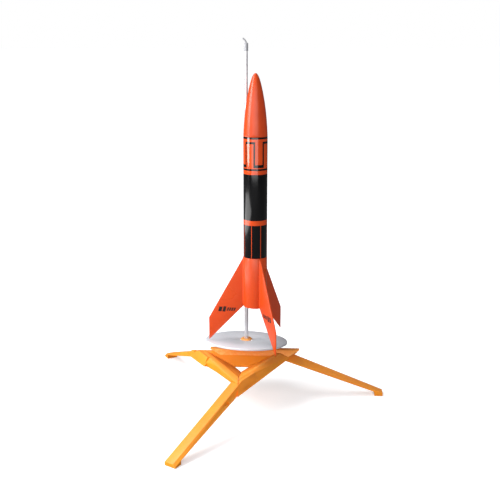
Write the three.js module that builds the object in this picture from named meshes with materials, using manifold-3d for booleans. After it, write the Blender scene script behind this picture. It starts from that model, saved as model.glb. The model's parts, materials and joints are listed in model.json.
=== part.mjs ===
// A small single-stage model rocket on its launch rod, blast plate and three-legged pad.
// Millimetres, +Z up. The parts are laid out about the pad's centre, and the whole group is then
// moved so that its origin is the middle of its bounding box at ground level.
import * as THREE from 'three';
import { ConvexGeometry } from 'three/addons/geometries/ConvexGeometry.js';
import { mergeVertices } from 'three/addons/utils/BufferGeometryUtils.js';
import Module from 'manifold-3d';

const wasm = await Module();
wasm.setup();

// ---------------------------------------------------------------- driving dimensions
const GAP = 0.3; // clearance between neighbouring pieces
const ROUND = 40; // facets of the large turned parts
const SMALL_ROUND = 24; // facets of the small turned parts

// Rocket
const AXIS = { x: 14.6, y: 12.61 }; // rocket's axis, from the pad's centre
const TUBE_R = 12.4; // 24.8 mm body tube
const TUBE_WALL = 0.6;
const CAN_BOTTOM = 104.3;
const CAN_TOP = 159.0;
const CAN_R = 12.5;
const CAN_WALL = 0.9;
const SPIGOT_LENGTH = 14; // of the fin can, up inside the tube
const NOSE_BASE = 285.1;
const NOSE_TIP = 348.1;
const NOSE_WALL = 1.3;
const SHOULDER_LENGTH = 18;
const SHOULDER_R = 11.4;
const FIN_BEARINGS = [174.9, -65.1, 54.9]; // degrees round the rocket
const FIN_SPAN_R = 50.1;
const FIN_TIP_TOP = 89.3;
const FIN_TIP_BOTTOM = 64.0;
const FIN_THICKNESS = 1.6;

// Motor and its mount
const MOTOR_R = 9.0; // 18 mm motor
const MOTOR_BOTTOM = 104.9;
const MOTOR_LENGTH = 70;
const MOTOR_WALL = 2.2;
const MOTOR_TUBE_R = 9.75;
const MOTOR_TUBE_BORE_R = 9.3;
const THRUST_RING_LENGTH = 5;
const RING_THICKNESS = 3; // of a centring ring

// Launch rod, 1/8 in (3.2 mm), behind the rocket and to its left
const ROD_BEARING = 129.15;
const ROD_OFFSET = 15.0;
const ROD_R = 1.6;
const ROD_TOP = 375.5;
const SLEEVE_R = 2.2;
const SLEEVE_BORE_R = 1.78;
const SLEEVE_TOP = 100;
const LUG_R = 2.33;
const LUG_BORE_R = 1.97;
const LUG_BOTTOM = 172;
const LUG_LENGTH = 34;
const CAP_R = 2.2;
const CAP_BOTTOM = 369.5;
const CAP_TOP = 377.5;

// Blast plate, a thin disc that sits at a slight slant so that the jet is turned aside
const PLATE_R = 45;
const PLATE_THICKNESS = 0.9;
const PLATE_UNDERSIDE = 60.0; // at the rod
const PLATE_RIM = 1.3; // height of the rolled rim under the edge
const PLATE_FRONT_UP = 8.2; // degrees
const PLATE_LEFT_UP = 2.2; // degrees
const HOLDER_R = 6.2;
const HOLDER_TOP = 62.6;
const SOCKET_DEPTH = 4.2; // of the sleeve in the holder
const HOLDER_FLANGE_R = 9;

// Tilt pivot of the rod holder, on a bridge along the ridge of the rear leg's head
const PIVOT_Z = 55.2;
const KNUCKLE_R = 4.0;
const KNUCKLE_WIDTH = 9;
const EAR_R = 3.8;
const EAR_THICKNESS = 2.2;
const BOLT_R = 1.5;
const NUT_R = 3.9;
const NUT_LENGTH = 5.2;

// Pad: three mouldings in a pinwheel. Each runs from its foot past the centre at RIDGE_OFFSET
const FOOT_RADIUS = 156.6;
const FOOT_BEARING = 6.07; // degrees, of the right-hand foot
const RIDGE_OFFSET = 24.5;
const LEG_WALL = 1.8;
const FOOT_LENGTH = 9; // of the flat underside of each foot

// ---------------------------------------------------------------- helpers
const radians = THREE.MathUtils.degToRad;

// A closed geometry as a Manifold solid, with its shared vertices merged and slivers dropped.
function toSolid(geometry) {
  const bare = geometry.clone();
  bare.deleteAttribute('normal');
  bare.deleteAttribute('uv');
  const merged = mergeVertices(bare, 1e-5);
  const index = merged.index.array;
  const kept = [];
  for (let i = 0; i < index.length; i += 3) {
    const [a, b, c] = [index[i], index[i + 1], index[i + 2]];
    if (a !== b && b !== c && c !== a) kept.push(a, b, c);
  }
  return new wasm.Manifold(new wasm.Mesh({
    numProp: 3,
    vertProperties: new Float32Array(merged.attributes.position.array),
    triVerts: new Uint32Array(kept),
  }));
}

// A Manifold solid back as a three.js geometry.
function toGeometry(solid) {
  const mesh = solid.getMesh();
  const geometry = new THREE.BufferGeometry();
  const corners = new Float32Array(mesh.vertProperties);
  geometry.setAttribute('position', new THREE.BufferAttribute(corners, 3));
  geometry.setIndex(new THREE.BufferAttribute(new Uint32Array(mesh.triVerts), 1));
  geometry.computeVertexNormals();
  return geometry;
}

// A turned solid about +Z from a counter-clockwise [radius, height] profile.
function turned(profile, facets = ROUND) {
  const points = profile.map(([radius, height]) => new THREE.Vector2(radius, height));
  return toSolid(new THREE.LatheGeometry(points, facets).rotateX(Math.PI / 2));
}

// A solid rod, or a tube when it has a bore, standing on Z between two heights.
function cylinder(radius, bottom, top, facets = SMALL_ROUND) {
  return turned([[0, bottom], [radius, bottom], [radius, top], [0, top]], facets);
}

function tube(radius, bore, bottom, top, facets = ROUND) {
  return turned([[bore, bottom], [radius, bottom], [radius, top], [bore, top], [bore, bottom]], facets);
}

function box(lowest, highest) {
  const size = highest.map((value, i) => value - lowest[i]);
  const middle = highest.map((value, i) => (value + lowest[i]) / 2);
  return toSolid(new THREE.BoxGeometry(...size).translate(...middle));
}

// A flat plate: an outline in X and Z, extruded over a thickness centred on Y.
function plate(outline, thickness) {
  const shape = new THREE.Shape(outline.map(([x, z]) => new THREE.Vector2(x, z)));
  const geometry = new THREE.ExtrudeGeometry(shape, { depth: thickness, bevelEnabled: false });
  return toSolid(geometry.translate(0, 0, -thickness / 2).rotateX(Math.PI / 2));
}

// The straight-sided solid between cross-sections: each is [station, [[across, height], ...]].
function loft(...sections) {
  const points = sections.flatMap(
    ([u, outline]) => outline.map(([v, z]) => new THREE.Vector3(u, v, z)));
  return toSolid(new ConvexGeometry(points));
}

// A round-sectioned strand along a smooth curve through points.
function strand(points, radius, steps, sides = 8) {
  const curve = new THREE.CatmullRomCurve3(points, false, 'centripetal');
  const section = new THREE.Shape();
  for (let i = 0; i < sides; i += 1) {
    const angle = (2 * Math.PI * i) / sides;
    const [x, y] = [radius * Math.cos(angle), radius * Math.sin(angle)];
    if (i === 0) section.moveTo(x, y);
    else section.lineTo(x, y);
  }
  section.closePath();
  const options = { steps, extrudePath: curve, bevelEnabled: false };
  return toSolid(new THREE.ExtrudeGeometry(section, options));
}

const materials = {
  rocketPlastic: new THREE.MeshStandardMaterial({ color: 0xe6461f, roughness: 0.3, metalness: 0 }),
  tubePrint: new THREE.MeshStandardMaterial({ color: 0x17171a, roughness: 0.35, metalness: 0 }),
  padPlastic: new THREE.MeshStandardMaterial({ color: 0xf58a1e, roughness: 0.45, metalness: 0 }),
  plateSteel: new THREE.MeshStandardMaterial({ color: 0xc3d0d2, roughness: 0.35, metalness: 0.8 }),
  rodSteel: new THREE.MeshStandardMaterial({ color: 0xbebec3, roughness: 0.25, metalness: 0.9 }),
  paper: new THREE.MeshStandardMaterial({ color: 0xe9e4d6, roughness: 0.9, metalness: 0 }),
  kraft: new THREE.MeshStandardMaterial({ color: 0xb08a5a, roughness: 0.85, metalness: 0 }),
  clay: new THREE.MeshStandardMaterial({ color: 0x9a948a, roughness: 0.95, metalness: 0 }),
  powder: new THREE.MeshStandardMaterial({ color: 0x2a2826, roughness: 1, metalness: 0 }),
  film: new THREE.MeshStandardMaterial({ color: 0xf2ece4, roughness: 0.5, metalness: 0 }),
  tissue: new THREE.MeshStandardMaterial({ color: 0xcfdfe4, roughness: 1, metalness: 0 }),
  elastic: new THREE.MeshStandardMaterial({ color: 0xf4f1ea, roughness: 0.95, metalness: 0 }),
  clearPlastic: new THREE.MeshStandardMaterial({ color: 0xb9b9bb, roughness: 0.4, metalness: 0 }),
};

const rocket = new THREE.Group();
const launchRod = new THREE.Group();
const pad = new THREE.Group();

function addPart(group, name, solid, material) {
  const mesh = new THREE.Mesh(toGeometry(solid), material);
  mesh.name = name;
  group.add(mesh);
}

// ---------------------------------------------------------------- rocket, about its own axis
// Radius of the nose at a share t of the way from its tip to its base.
function noseRadius(t) {
  return TUBE_R * Math.min(1, t ** 0.47 + 0.06 * Math.sin(Math.PI * t ** 1.3));
}

function noseCone() {
  const height = NOSE_TIP - NOSE_BASE;
  const base = NOSE_BASE + GAP;
  const steps = 16;
  const outside = [];
  const inside = [];
  for (let i = 0; i <= steps; i += 1) {
    const t = 1 - (i / steps) ** 0.8;
    outside.push([i === steps ? 0 : noseRadius(t), NOSE_TIP - t * (height - GAP)]);
  }
  const hollowTop = NOSE_TIP - 4;
  inside.push([0, hollowTop]);
  for (let i = 1; i < steps; i += 1) {
    const t = (i / steps) ** 1.5;
    inside.push([Math.max(0, noseRadius(t) - NOSE_WALL), hollowTop - t * (hollowTop - base - 2)]);
  }
  const bore = SHOULDER_R - 1;
  const foot = NOSE_BASE - SHOULDER_LENGTH;
  return turned([
    [bore, foot], [SHOULDER_R, foot], [SHOULDER_R, base], ...outside,
    ...inside, [bore, base + 1], [bore, foot],
  ]);
}

// The plug glued into the shoulder, with the moulded loop that the shock cord is tied to.
function noseInsert() {
  const top = NOSE_BASE - SHOULDER_LENGTH + 6;
  const lip = NOSE_BASE - SHOULDER_LENGTH - GAP;
  const plug = turned([
    [0, lip - 2.2], [SHOULDER_R, lip - 2.2], [SHOULDER_R, lip], [SHOULDER_R - 1 - GAP, lip],
    [SHOULDER_R - 1 - GAP, top], [0, top],
  ]);
  const loop = toSolid(new THREE.TorusGeometry(2.8, 0.9, 10, 20).rotateX(Math.PI / 2));
  return plug.add(loop.translate(0, 0, lip - 2.2 - 2.5));
}

function finCan() {
  const bore = CAN_R - CAN_WALL;
  const spigot = TUBE_R - TUBE_WALL - GAP;
  const top = CAN_TOP + SPIGOT_LENGTH;
  let can = turned([
    [bore, CAN_BOTTOM], [CAN_R, CAN_BOTTOM], [CAN_R, CAN_TOP], [spigot, CAN_TOP], [spigot, top],
    [spigot - 0.6, top], [spigot - 0.6, CAN_TOP - 2], [bore, CAN_TOP - 4], [bore, CAN_BOTTOM],
  ]);
  const rootR = CAN_R - 0.5;
  const outline = [
    [rootR, CAN_BOTTOM + 0.1], [FIN_SPAN_R, FIN_TIP_BOTTOM],
    [FIN_SPAN_R, FIN_TIP_TOP], [rootR, CAN_TOP - 0.1],
  ];
  for (const bearing of FIN_BEARINGS) {
    can = can.add(plate(outline, FIN_THICKNESS).rotate(0, 0, bearing));
  }
  return can;
}

addPart(rocket, 'nose_cone', noseCone(), materials.rocketPlastic);
addPart(rocket, 'nose_insert', noseInsert(), materials.rocketPlastic);
addPart(rocket, 'body_tube',
  tube(TUBE_R, TUBE_R - TUBE_WALL, CAN_TOP + GAP, NOSE_BASE), materials.tubePrint);
addPart(rocket, 'fin_can', finCan(), materials.rocketPlastic);

// Motor mount and motor
const motorTop = MOTOR_BOTTOM + MOTOR_LENGTH;
const motorTubeTop = motorTop + GAP + THRUST_RING_LENGTH + 7;
const motorTubeBottom = CAN_BOTTOM + 2;
const boreR = TUBE_R - TUBE_WALL;
addPart(rocket, 'motor_tube',
  tube(MOTOR_TUBE_R, MOTOR_TUBE_BORE_R, motorTubeBottom, motorTubeTop), materials.kraft);
addPart(rocket, 'thrust_ring',
  tube(MOTOR_TUBE_BORE_R - GAP, 6.8, motorTop + GAP, motorTop + GAP + THRUST_RING_LENGTH), materials.kraft);
addPart(rocket, 'rear_centring_ring',
  tube(CAN_R - CAN_WALL - GAP, MOTOR_TUBE_R + GAP, motorTubeBottom, motorTubeBottom + RING_THICKNESS),
  materials.kraft);
addPart(rocket, 'front_centring_ring',
  tube(boreR - GAP, MOTOR_TUBE_R + GAP, motorTubeTop - RING_THICKNESS - 1, motorTubeTop - 1),
  materials.kraft);

const motorBoreR = MOTOR_R - MOTOR_WALL;
const nozzleTop = MOTOR_BOTTOM + 9;
const grainTop = MOTOR_BOTTOM + 58;
addPart(rocket, 'motor_casing', tube(MOTOR_R, motorBoreR, MOTOR_BOTTOM, motorTop, 40), materials.kraft);
addPart(rocket, 'motor_nozzle', turned([
  [3.4, MOTOR_BOTTOM + 0.6], [motorBoreR - GAP, MOTOR_BOTTOM + 0.6], [motorBoreR - GAP, nozzleTop],
  [1.6, nozzleTop], [1.6, MOTOR_BOTTOM + 4.5], [3.4, MOTOR_BOTTOM + 0.6],
], SMALL_ROUND), materials.clay);
addPart(rocket, 'motor_grain', turned([
  [1.6, nozzleTop + GAP], [motorBoreR - GAP, nozzleTop + GAP], [motorBoreR - GAP, grainTop], [0, grainTop],
  [0, nozzleTop + 6], [1.6, nozzleTop + 5], [1.6, nozzleTop + GAP],
], SMALL_ROUND), materials.powder);
addPart(rocket, 'motor_cap',
  cylinder(motorBoreR - GAP, grainTop + GAP, motorTop - 4), materials.clay);

// Recovery gear in the tube: wadding, rolled parachute, elastic cord in a zigzag beside it
const WADDING_TOP = 198;
const CHUTE_TOP = 252;
const CHUTE_R = 8.2;
const CHUTE_SHIFT = -2.4;
const CORD_R = 0.6;
const CORD_PATH_R = 10;
const CORD_FOLD_BOTTOM = 206;
const CORD_FOLD_TOP = 246;
const CORD_RUNS = 5;
const CORD_RUN_STEP = 25; // degrees between runs
const MOUNT_BEARING = 80;
addPart(rocket, 'wadding', cylinder(boreR - 1, motorTubeTop + 1, WADDING_TOP, SMALL_ROUND), materials.tissue);
addPart(rocket, 'parachute',
  cylinder(CHUTE_R, WADDING_TOP + 1, CHUTE_TOP, SMALL_ROUND).translate(CHUTE_SHIFT, 0, 0), materials.film);

// The paper tab glued to the wall: a curved strip.
function cordMount() {
  const sleeve = tube(boreR - GAP, boreR - 1, 228, 250);
  const wedge = loft(
    [0, [[0, 220], [0, 260]]],
    [14, [[-4.5, 220], [4.5, 220], [-4.5, 260], [4.5, 260]]],
  );
  return sleeve.intersect(wedge.rotate(0, 0, MOUNT_BEARING));
}
addPart(rocket, 'cord_mount', cordMount(), materials.paper);

// Zigzag: down from the tab, then up and down round the wall, and in to the nose's loop.
function cordPoints() {
  const at = (bearing, z, radius = CORD_PATH_R) => new THREE.Vector3(
    radius * Math.cos(radians(bearing)), radius * Math.sin(radians(bearing)), z);
  const points = [];
  let bearing = MOUNT_BEARING - 6;
  points.push(at(bearing, 227.4));
  for (let run = 0; run < CORD_RUNS; run += 1) {
    const down = run % 2 === 0;
    const end = down ? CORD_FOLD_BOTTOM : CORD_FOLD_TOP;
    const bend = down ? -2.2 : 2.2;
    points.push(at(bearing, end - 4 * bend), at(bearing, end));
    points.push(at(bearing - CORD_RUN_STEP / 2, end + bend));
    bearing -= CORD_RUN_STEP;
    points.push(at(bearing, end), at(bearing, end - 4 * bend));
  }
  points.push(at(bearing, CHUTE_TOP - 4), at(bearing, CHUTE_TOP + 1.5, 9.2));
  points.push(at(bearing, CHUTE_TOP + 3.6, 6), at(bearing, CHUTE_TOP + 5, 1.5));
  return points;
}
addPart(rocket, 'shock_cord', strand(cordPoints(), CORD_R, 120, 6), materials.elastic);

// ---------------------------------------------------------------- rod, its cap, holder and plate
const rodPlace = {
  x: AXIS.x + ROD_OFFSET * Math.cos(radians(ROD_BEARING)),
  y: AXIS.y + ROD_OFFSET * Math.sin(radians(ROD_BEARING)),
};
const beamBearing = FOOT_BEARING - THREE.MathUtils.radToDeg(Math.asin(RIDGE_OFFSET / FOOT_RADIUS));

addPart(launchRod, 'launch_rod',
  cylinder(ROD_R, HOLDER_TOP - SOCKET_DEPTH + 1, ROD_TOP, 16), materials.rodSteel);
addPart(launchRod, 'rod_sleeve',
  tube(SLEEVE_R, SLEEVE_BORE_R, HOLDER_TOP - SOCKET_DEPTH, SLEEVE_TOP, 20),
  materials.rodSteel);

function safetyCap() {
  const cap = turned([
    [ROD_R + 0.18, CAP_BOTTOM], [CAP_R, CAP_BOTTOM], [CAP_R, CAP_TOP - 0.8], [CAP_R - 0.8, CAP_TOP],
    [0, CAP_TOP], [0, ROD_TOP + GAP], [ROD_R + 0.18, ROD_TOP + GAP], [ROD_R + 0.18, CAP_BOTTOM],
  ], 20);
  const tail = strand([
    new THREE.Vector3(0, 0, CAP_TOP - 1), new THREE.Vector3(-0.5, 0, CAP_TOP + 1),
    new THREE.Vector3(-1.8, 0, CAP_TOP + 2.8), new THREE.Vector3(-3.4, 0, CAP_TOP + 4.2),
  ], 0.8, 8);
  return cap.add(tail);
}
addPart(launchRod, 'safety_cap', safetyCap(), materials.clearPlastic);

// Slants a solid as the plate lies, about the point where the plate's underside meets the rod.
function slanted(solid) {
  return solid.rotate(-PLATE_FRONT_UP, PLATE_LEFT_UP, 0).translate(0, 0, PLATE_UNDERSIDE);
}

function blastPlate() {
  const bore = HOLDER_R + 0.6;
  return slanted(turned([
    [bore, 0], [PLATE_R - 1.6, 0], [PLATE_R - 0.7, -PLATE_RIM], [PLATE_R, -PLATE_RIM],
    [PLATE_R, 0], [PLATE_R - 1, PLATE_THICKNESS], [bore, PLATE_THICKNESS], [bore, 0],
  ]));
}
addPart(launchRod, 'blast_plate', blastPlate(), materials.plateSteel);

function rodHolder() {
  const stem = cylinder(HOLDER_R, PIVOT_Z, HOLDER_TOP, 32);
  const chamfer = turned([
    [HOLDER_R - 1, HOLDER_TOP], [HOLDER_R + 1, HOLDER_TOP - 2], [HOLDER_R + 1, HOLDER_TOP + 1],
    [HOLDER_R - 1, HOLDER_TOP + 1], [HOLDER_R - 1, HOLDER_TOP],
  ], 32);
  const flange = cylinder(HOLDER_FLANGE_R, PIVOT_Z + 1.2, PIVOT_Z + 8, 32);
  const aboveSeat = slanted(box([-20, -20, -GAP], [20, 20, 20]));
  const seat = flange.subtract(aboveSeat);
  const half = KNUCKLE_WIDTH / 2;
  const knuckle = turned([[0, -half], [KNUCKLE_R, -half], [KNUCKLE_R, half], [0, half]], 28)
    .rotate(0, 90, beamBearing).translate(0, 0, PIVOT_Z);
  const below = PIVOT_Z + 6;
  const earRoomOne = box([half, -12, 40], [20, 12, below]).rotate(0, 0, beamBearing);
  const earRoomTwo = box([-20, -12, 40], [-half, 12, below]).rotate(0, 0, beamBearing);
  const bore = cylinder(BOLT_R + GAP, -20, 20).rotate(0, 90, beamBearing).translate(0, 0, PIVOT_Z);
  const socketFloor = HOLDER_TOP - SOCKET_DEPTH - GAP;
  const socket = cylinder(SLEEVE_R + 0.15, socketFloor, HOLDER_TOP + 1, 20);
  const belowStem = box([-20, -20, 40], [20, 20, PIVOT_Z]);
  const head = stem.add(seat).subtract(belowStem).subtract(earRoomOne).subtract(earRoomTwo);
  return head.add(knuckle).subtract(chamfer).subtract(bore).subtract(socket);
}
addPart(launchRod, 'rod_holder', rodHolder(), materials.padPlastic);

addPart(launchRod, 'launch_lug',
  tube(LUG_R, LUG_BORE_R, LUG_BOTTOM, LUG_BOTTOM + LUG_LENGTH, 20), materials.paper);

// ---------------------------------------------------------------- pad
// A leg in its own frame: u runs out to the foot, v away from the pad's centre, z up.
const FOOT_U = Math.sqrt(FOOT_RADIUS ** 2 - RIDGE_OFFSET ** 2);
const HEAD_START = -60;
const LEG_START = 22;
const HEAD_END = 62;
const HEAD_OVERLAP_U = 40; // from here outwards the leg's skin runs into the head's

const LEG_SHOULDER = 45; // the leg runs level up to here, then slopes down to its foot

// Underside height of the leg at a station u. Its foot is a small block below the end.
const LEG_SLOPE = 0.3487;
const FOOT_HEIGHT = 1.6;
const LEG_TAPER = 4.5; // the leg's outer edge comes in by this much at the foot
const ROOM_DEPTH = 12; // how far below a moulding its neighbours keep clear
const legTaper = (u) => LEG_TAPER * Math.max(0, (u - LEG_SHOULDER) / (FOOT_U - LEG_SHOULDER));
const crestOf = (u) => 28.5 - legTaper(u) * 0.8;
const legHeight = (u) => FOOT_HEIGHT + LEG_SLOPE * (FOOT_U - Math.max(u, LEG_SHOULDER));

// Cross-sections, shrunk by a wall when they bound the hollow underneath.
function legSection(u, wall = 0) {
  const z = legHeight(u);
  const rise = 2.2 + 4.8 * Math.min(1, (FOOT_U - u) / 70);
  const drop = wall > 0 ? ROOM_DEPTH : 0;
  const crest = crestOf(u);
  return [u, [
    [17 + wall, z - drop], [17 + wall, z + 2 - wall * 0.6], [crest, z + rise - wall * 1.1],
    [crest + 2, z + rise - wall * 1.1], [34 - legTaper(u) - wall, z - drop],
  ]];
}

function headSection(u, wall = 0) {
  const outerFoot = 39.5 - 0.06 * u;
  const drop = wall > 0 ? ROOM_DEPTH : 0;
  return [u, [
    [5.2 + wall * 2, 36 - drop], [5.2 + wall * 2, 37.4 - wall], [RIDGE_OFFSET - 1.2, 47 - wall * 1.2],
    [RIDGE_OFFSET + 1.2, 47 - wall * 1.2], [35.5 - wall, outerFoot - drop],
  ]];
}

// The third of the hub that one head fills: a wedge of 120 degrees about the pad's centre.
function hubThird(gap) {
  const reach = 80;
  const width = reach * Math.tan(radians(60));
  const geometry = new ConvexGeometry([
    new THREE.Vector3(0, gap * 2, 0), new THREE.Vector3(width, reach + gap * 2, 0),
    new THREE.Vector3(-width, reach + gap * 2, 0), new THREE.Vector3(0, gap * 2, 70),
    new THREE.Vector3(width, reach + gap * 2, 70), new THREE.Vector3(-width, reach + gap * 2, 70),
  ]);
  return toSolid(geometry);
}

// A leg's solid between its feet and the head, from a cross-section function.
function legSolid(section) {
  const level = loft(section(LEG_START), section(LEG_SHOULDER));
  return level.add(loft(section(LEG_SHOULDER), section(FOOT_U)));
}

// The same, grown by the clearance that a neighbour keeps to it, and closed well below.
const legRoom = legSolid((u) => [u, legSection(u)[1].flatMap(([v, z]) => {
  const across = v > crestOf(u) - 1 ? v + GAP : v - GAP;
  return [[across, z + GAP * 1.3], [across, z - ROOM_DEPTH]];
})]);

const grownHead = (u) => [u, headSection(u)[1].map(([v, z], i) => [
  v > RIDGE_OFFSET ? v + GAP : v - GAP, i === 0 ? z - ROOM_DEPTH : z + GAP * 1.3,
])];
const headRoom = loft(grownHead(HEAD_START), grownHead(HEAD_END)).intersect(hubThird(-GAP));

function legMoulding() {
  const hollowStart = loft(legSection(LEG_START - 1, LEG_WALL), legSection(LEG_SHOULDER, LEG_WALL));
  const hollowSlope = loft(
    legSection(LEG_SHOULDER, LEG_WALL), legSection(FOOT_U - FOOT_LENGTH, LEG_WALL));
  const headOuter = loft(headSection(HEAD_START), headSection(HEAD_END)).intersect(hubThird(GAP / 2));
  const headHollow = loft(headSection(HEAD_START - 2, LEG_WALL), headSection(HEAD_END + 2, LEG_WALL))
    .intersect(hubThird(-1));
  const underHead = headHollow.intersect(box([-90, -90, -30], [HEAD_OVERLAP_U, 90, 70]));
  const leg = legSolid(legSection).subtract(hollowStart).subtract(hollowSlope).subtract(underHead);
  const head = headOuter.subtract(headHollow).subtract(legRoom.rotate(0, 0, 120));
  const latchWindow = box([71, 30.4, 31.4], [79, 40, 34.2]);
  const foot = loft(
    [FOOT_U - FOOT_LENGTH, [[17, 0], [29.4, 0], [29.4, 5], [17, 5]]],
    [FOOT_U, [[17, 0], [29.4, 0], [29.4, 2], [17, 3.4]]],
  );
  const ground = box([-90, -90, -30], [200, 90, 0]);
  return head.add(leg).add(foot).subtract(latchWindow).subtract(ground);
}

// The left moulding's head is narrower along its outer edge.
const narrowing = loft(
  [HEAD_START - 2, [[30, 20], [30, 60], [45, 20], [45, 60]]],
  [0, [[30, 20], [30, 60], [45, 20], [45, 60]]],
  [LEG_START - 2, [[32, 20], [32, 60], [45, 20], [45, 60]]],
);

const moulding = legMoulding();
const legNames = ['leg_rear', 'leg_front', 'leg_left'];
legNames.forEach((name, i) => {
  const piece = name === 'leg_left' ? moulding.subtract(narrowing) : moulding;
  addPart(pad, name, piece.rotate(0, 0, beamBearing - 120 * i), materials.padPlastic);
});

// The bridge snapped over the rear leg's ridge: a long low saddle with pointed ends and two ears
// that hold the rod holder's knuckle. It is drawn in that leg's frame.
const BRIDGE_START = -36;
const BRIDGE_END = 62;
const BRIDGE_TOP = 50.2;
const [pivotU, pivotV] = new THREE.Vector2(rodPlace.x, rodPlace.y)
  .rotateAround(new THREE.Vector2(), radians(-beamBearing)).toArray();

function tiltBridge() {
  const crown = (u) => [u, [[RIDGE_OFFSET - 3.5, BRIDGE_TOP], [RIDGE_OFFSET + 3.5, BRIDGE_TOP]]];
  const skirt = (u) => [u, [[RIDGE_OFFSET - 7, 44], [RIDGE_OFFSET + 6, 44]]];
  let bridge = loft(
    crown(BRIDGE_START), crown(BRIDGE_END), skirt(BRIDGE_START + 12), skirt(BRIDGE_END - 12));
  for (const turn of [0, 120, -120]) {
    bridge = bridge.subtract(headRoom.rotate(0, 0, turn)).subtract(legRoom.rotate(0, 0, turn));
  }
  const half = KNUCKLE_WIDTH / 2 + GAP;
  for (const [from, to] of [[half, half + EAR_THICKNESS], [-half - EAR_THICKNESS, -half]]) {
    const round = turned([[0, from], [EAR_R, from], [EAR_R, to], [0, to]], 28)
      .rotate(0, 90, 0).translate(0, 0, PIVOT_Z);
    const web = box([from, -EAR_R, BRIDGE_TOP - 1], [to, EAR_R, PIVOT_Z]);
    bridge = bridge.add(round.add(web).translate(pivotU, pivotV, 0));
  }
  const bore = cylinder(BOLT_R + GAP, -20, 20).rotate(0, 90, 0).translate(pivotU, pivotV, PIVOT_Z);
  return bridge.subtract(bore);
}

// The bolt lies along the ridge, its head on the left and the knurled nut on the right.
const boltHead = -KNUCKLE_WIDTH / 2 - GAP * 2 - EAR_THICKNESS;
const nutFace = -boltHead;

function pivotBolt() {
  const bolt = turned([
    [0, boltHead - 2], [2.6, boltHead - 2], [3, boltHead - 1.4], [3, boltHead], [BOLT_R, boltHead],
    [BOLT_R, nutFace + NUT_LENGTH + 2.4], [0, nutFace + NUT_LENGTH + 2.4],
  ]);
  return bolt.rotate(0, 90, 0);
}

function thumbNut() {
  let nut = tube(NUT_R, BOLT_R + GAP, nutFace, nutFace + NUT_LENGTH, 36);
  const grooves = 12;
  for (let i = 0; i < grooves; i += 1) {
    const groove = cylinder(0.45, nutFace - 1, nutFace + NUT_LENGTH + 1, 8).translate(NUT_R + 0.1, 0, 0);
    nut = nut.subtract(groove.rotate(0, 0, (360 * i) / grooves));
  }
  return nut.rotate(0, 90, 0);
}

const inRearLeg = (solid) => solid.rotate(0, 0, beamBearing);
addPart(pad, 'tilt_bridge', inRearLeg(tiltBridge()), materials.padPlastic);
addPart(pad, 'pivot_bolt', inRearLeg(pivotBolt().translate(pivotU, pivotV, PIVOT_Z)), materials.rodSteel);
addPart(pad, 'thumb_nut', inRearLeg(thumbNut().translate(pivotU, pivotV, PIVOT_Z)), materials.rodSteel);

const result = new THREE.Group();
rocket.position.set(AXIS.x, AXIS.y, 0);
launchRod.position.set(rodPlace.x, rodPlace.y, 0);
result.add(rocket, launchRod, pad);

const bounds = new THREE.Box3().setFromObject(result);
const middle = bounds.getCenter(new THREE.Vector3());
result.position.set(-middle.x, -middle.y, -bounds.min.z);

export default result;
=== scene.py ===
"""Looks of a small model rocket on its launch pad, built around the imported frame.

Sizes in the classes are millimetres in the row frame. Meshes are written in metres.
"""

from __future__ import annotations

import json
import logging
import math
from dataclasses import dataclass
from enum import Enum
from typing import Callable, Sequence

import bmesh
import bpy
from mathutils import Matrix, Vector, noise


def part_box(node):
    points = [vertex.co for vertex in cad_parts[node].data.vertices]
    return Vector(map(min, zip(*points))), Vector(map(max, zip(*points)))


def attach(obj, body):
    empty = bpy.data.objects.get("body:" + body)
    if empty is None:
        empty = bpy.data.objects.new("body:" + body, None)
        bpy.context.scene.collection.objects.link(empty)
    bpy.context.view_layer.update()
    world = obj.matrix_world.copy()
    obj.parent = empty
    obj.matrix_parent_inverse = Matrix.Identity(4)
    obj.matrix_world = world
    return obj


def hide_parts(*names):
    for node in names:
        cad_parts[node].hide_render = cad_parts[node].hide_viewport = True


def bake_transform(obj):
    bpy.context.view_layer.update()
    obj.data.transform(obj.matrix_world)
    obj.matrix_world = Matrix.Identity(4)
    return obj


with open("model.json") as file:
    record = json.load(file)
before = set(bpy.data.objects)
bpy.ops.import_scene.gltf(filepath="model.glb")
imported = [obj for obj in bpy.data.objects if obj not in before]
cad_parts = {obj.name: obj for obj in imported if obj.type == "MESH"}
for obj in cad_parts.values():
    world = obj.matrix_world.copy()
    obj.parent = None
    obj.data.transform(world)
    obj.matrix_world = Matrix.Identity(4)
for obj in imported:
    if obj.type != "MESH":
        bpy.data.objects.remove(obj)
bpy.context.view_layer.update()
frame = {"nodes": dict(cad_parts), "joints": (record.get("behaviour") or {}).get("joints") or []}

log = logging.getLogger("rocket")

MM = 0.001
TURN = 2 * math.pi
Profile = list[tuple[float, float]]
Colour = tuple[float, float, float, float]


class Body(str, Enum):
    """Moving bodies that a piece can ride on."""

    PAD = "pad"
    NUT = "nut"
    ROD = "rod"
    CAP = "cap"
    PLATE = "plate"
    ROCKET = "rocket"
    MOTOR = "motor"
    NOSE = "nose"


class Slot(str, Enum):
    """Material slots of the record."""

    ROCKET = "rocket_plastic"
    WRAP = "tube_print"
    PAD = "pad_plastic"
    PLATE = "plate_steel"
    ROD = "rod_steel"
    PAPER = "white_paper"
    KRAFT = "kraft_paper"
    CLAY = "clay"
    POWDER = "propellant"
    FILM = "chute_film"
    TISSUE = "wadding_tissue"
    ELASTIC = "elastic"
    CLEAR = "clear_plastic"


# ------------------------------------------------------------------ measuring and mesh making
def span(node: str) -> tuple[Vector, Vector]:
    """Lowest and highest corner of a CAD node.

    Args:
        node: the node's name.

    Returns:
        Both corners, in millimetres.
    """
    low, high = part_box(node)
    return low / MM, high / MM


def axis_of(node: str) -> Vector:
    """Foot of the vertical axis of a turned node.

    Args:
        node: the node's name.

    Returns:
        Its middle at ground level, in millimetres.
    """
    low, high = span(node)
    return Vector(((low.x + high.x) / 2, (low.y + high.y) / 2, 0))


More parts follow.
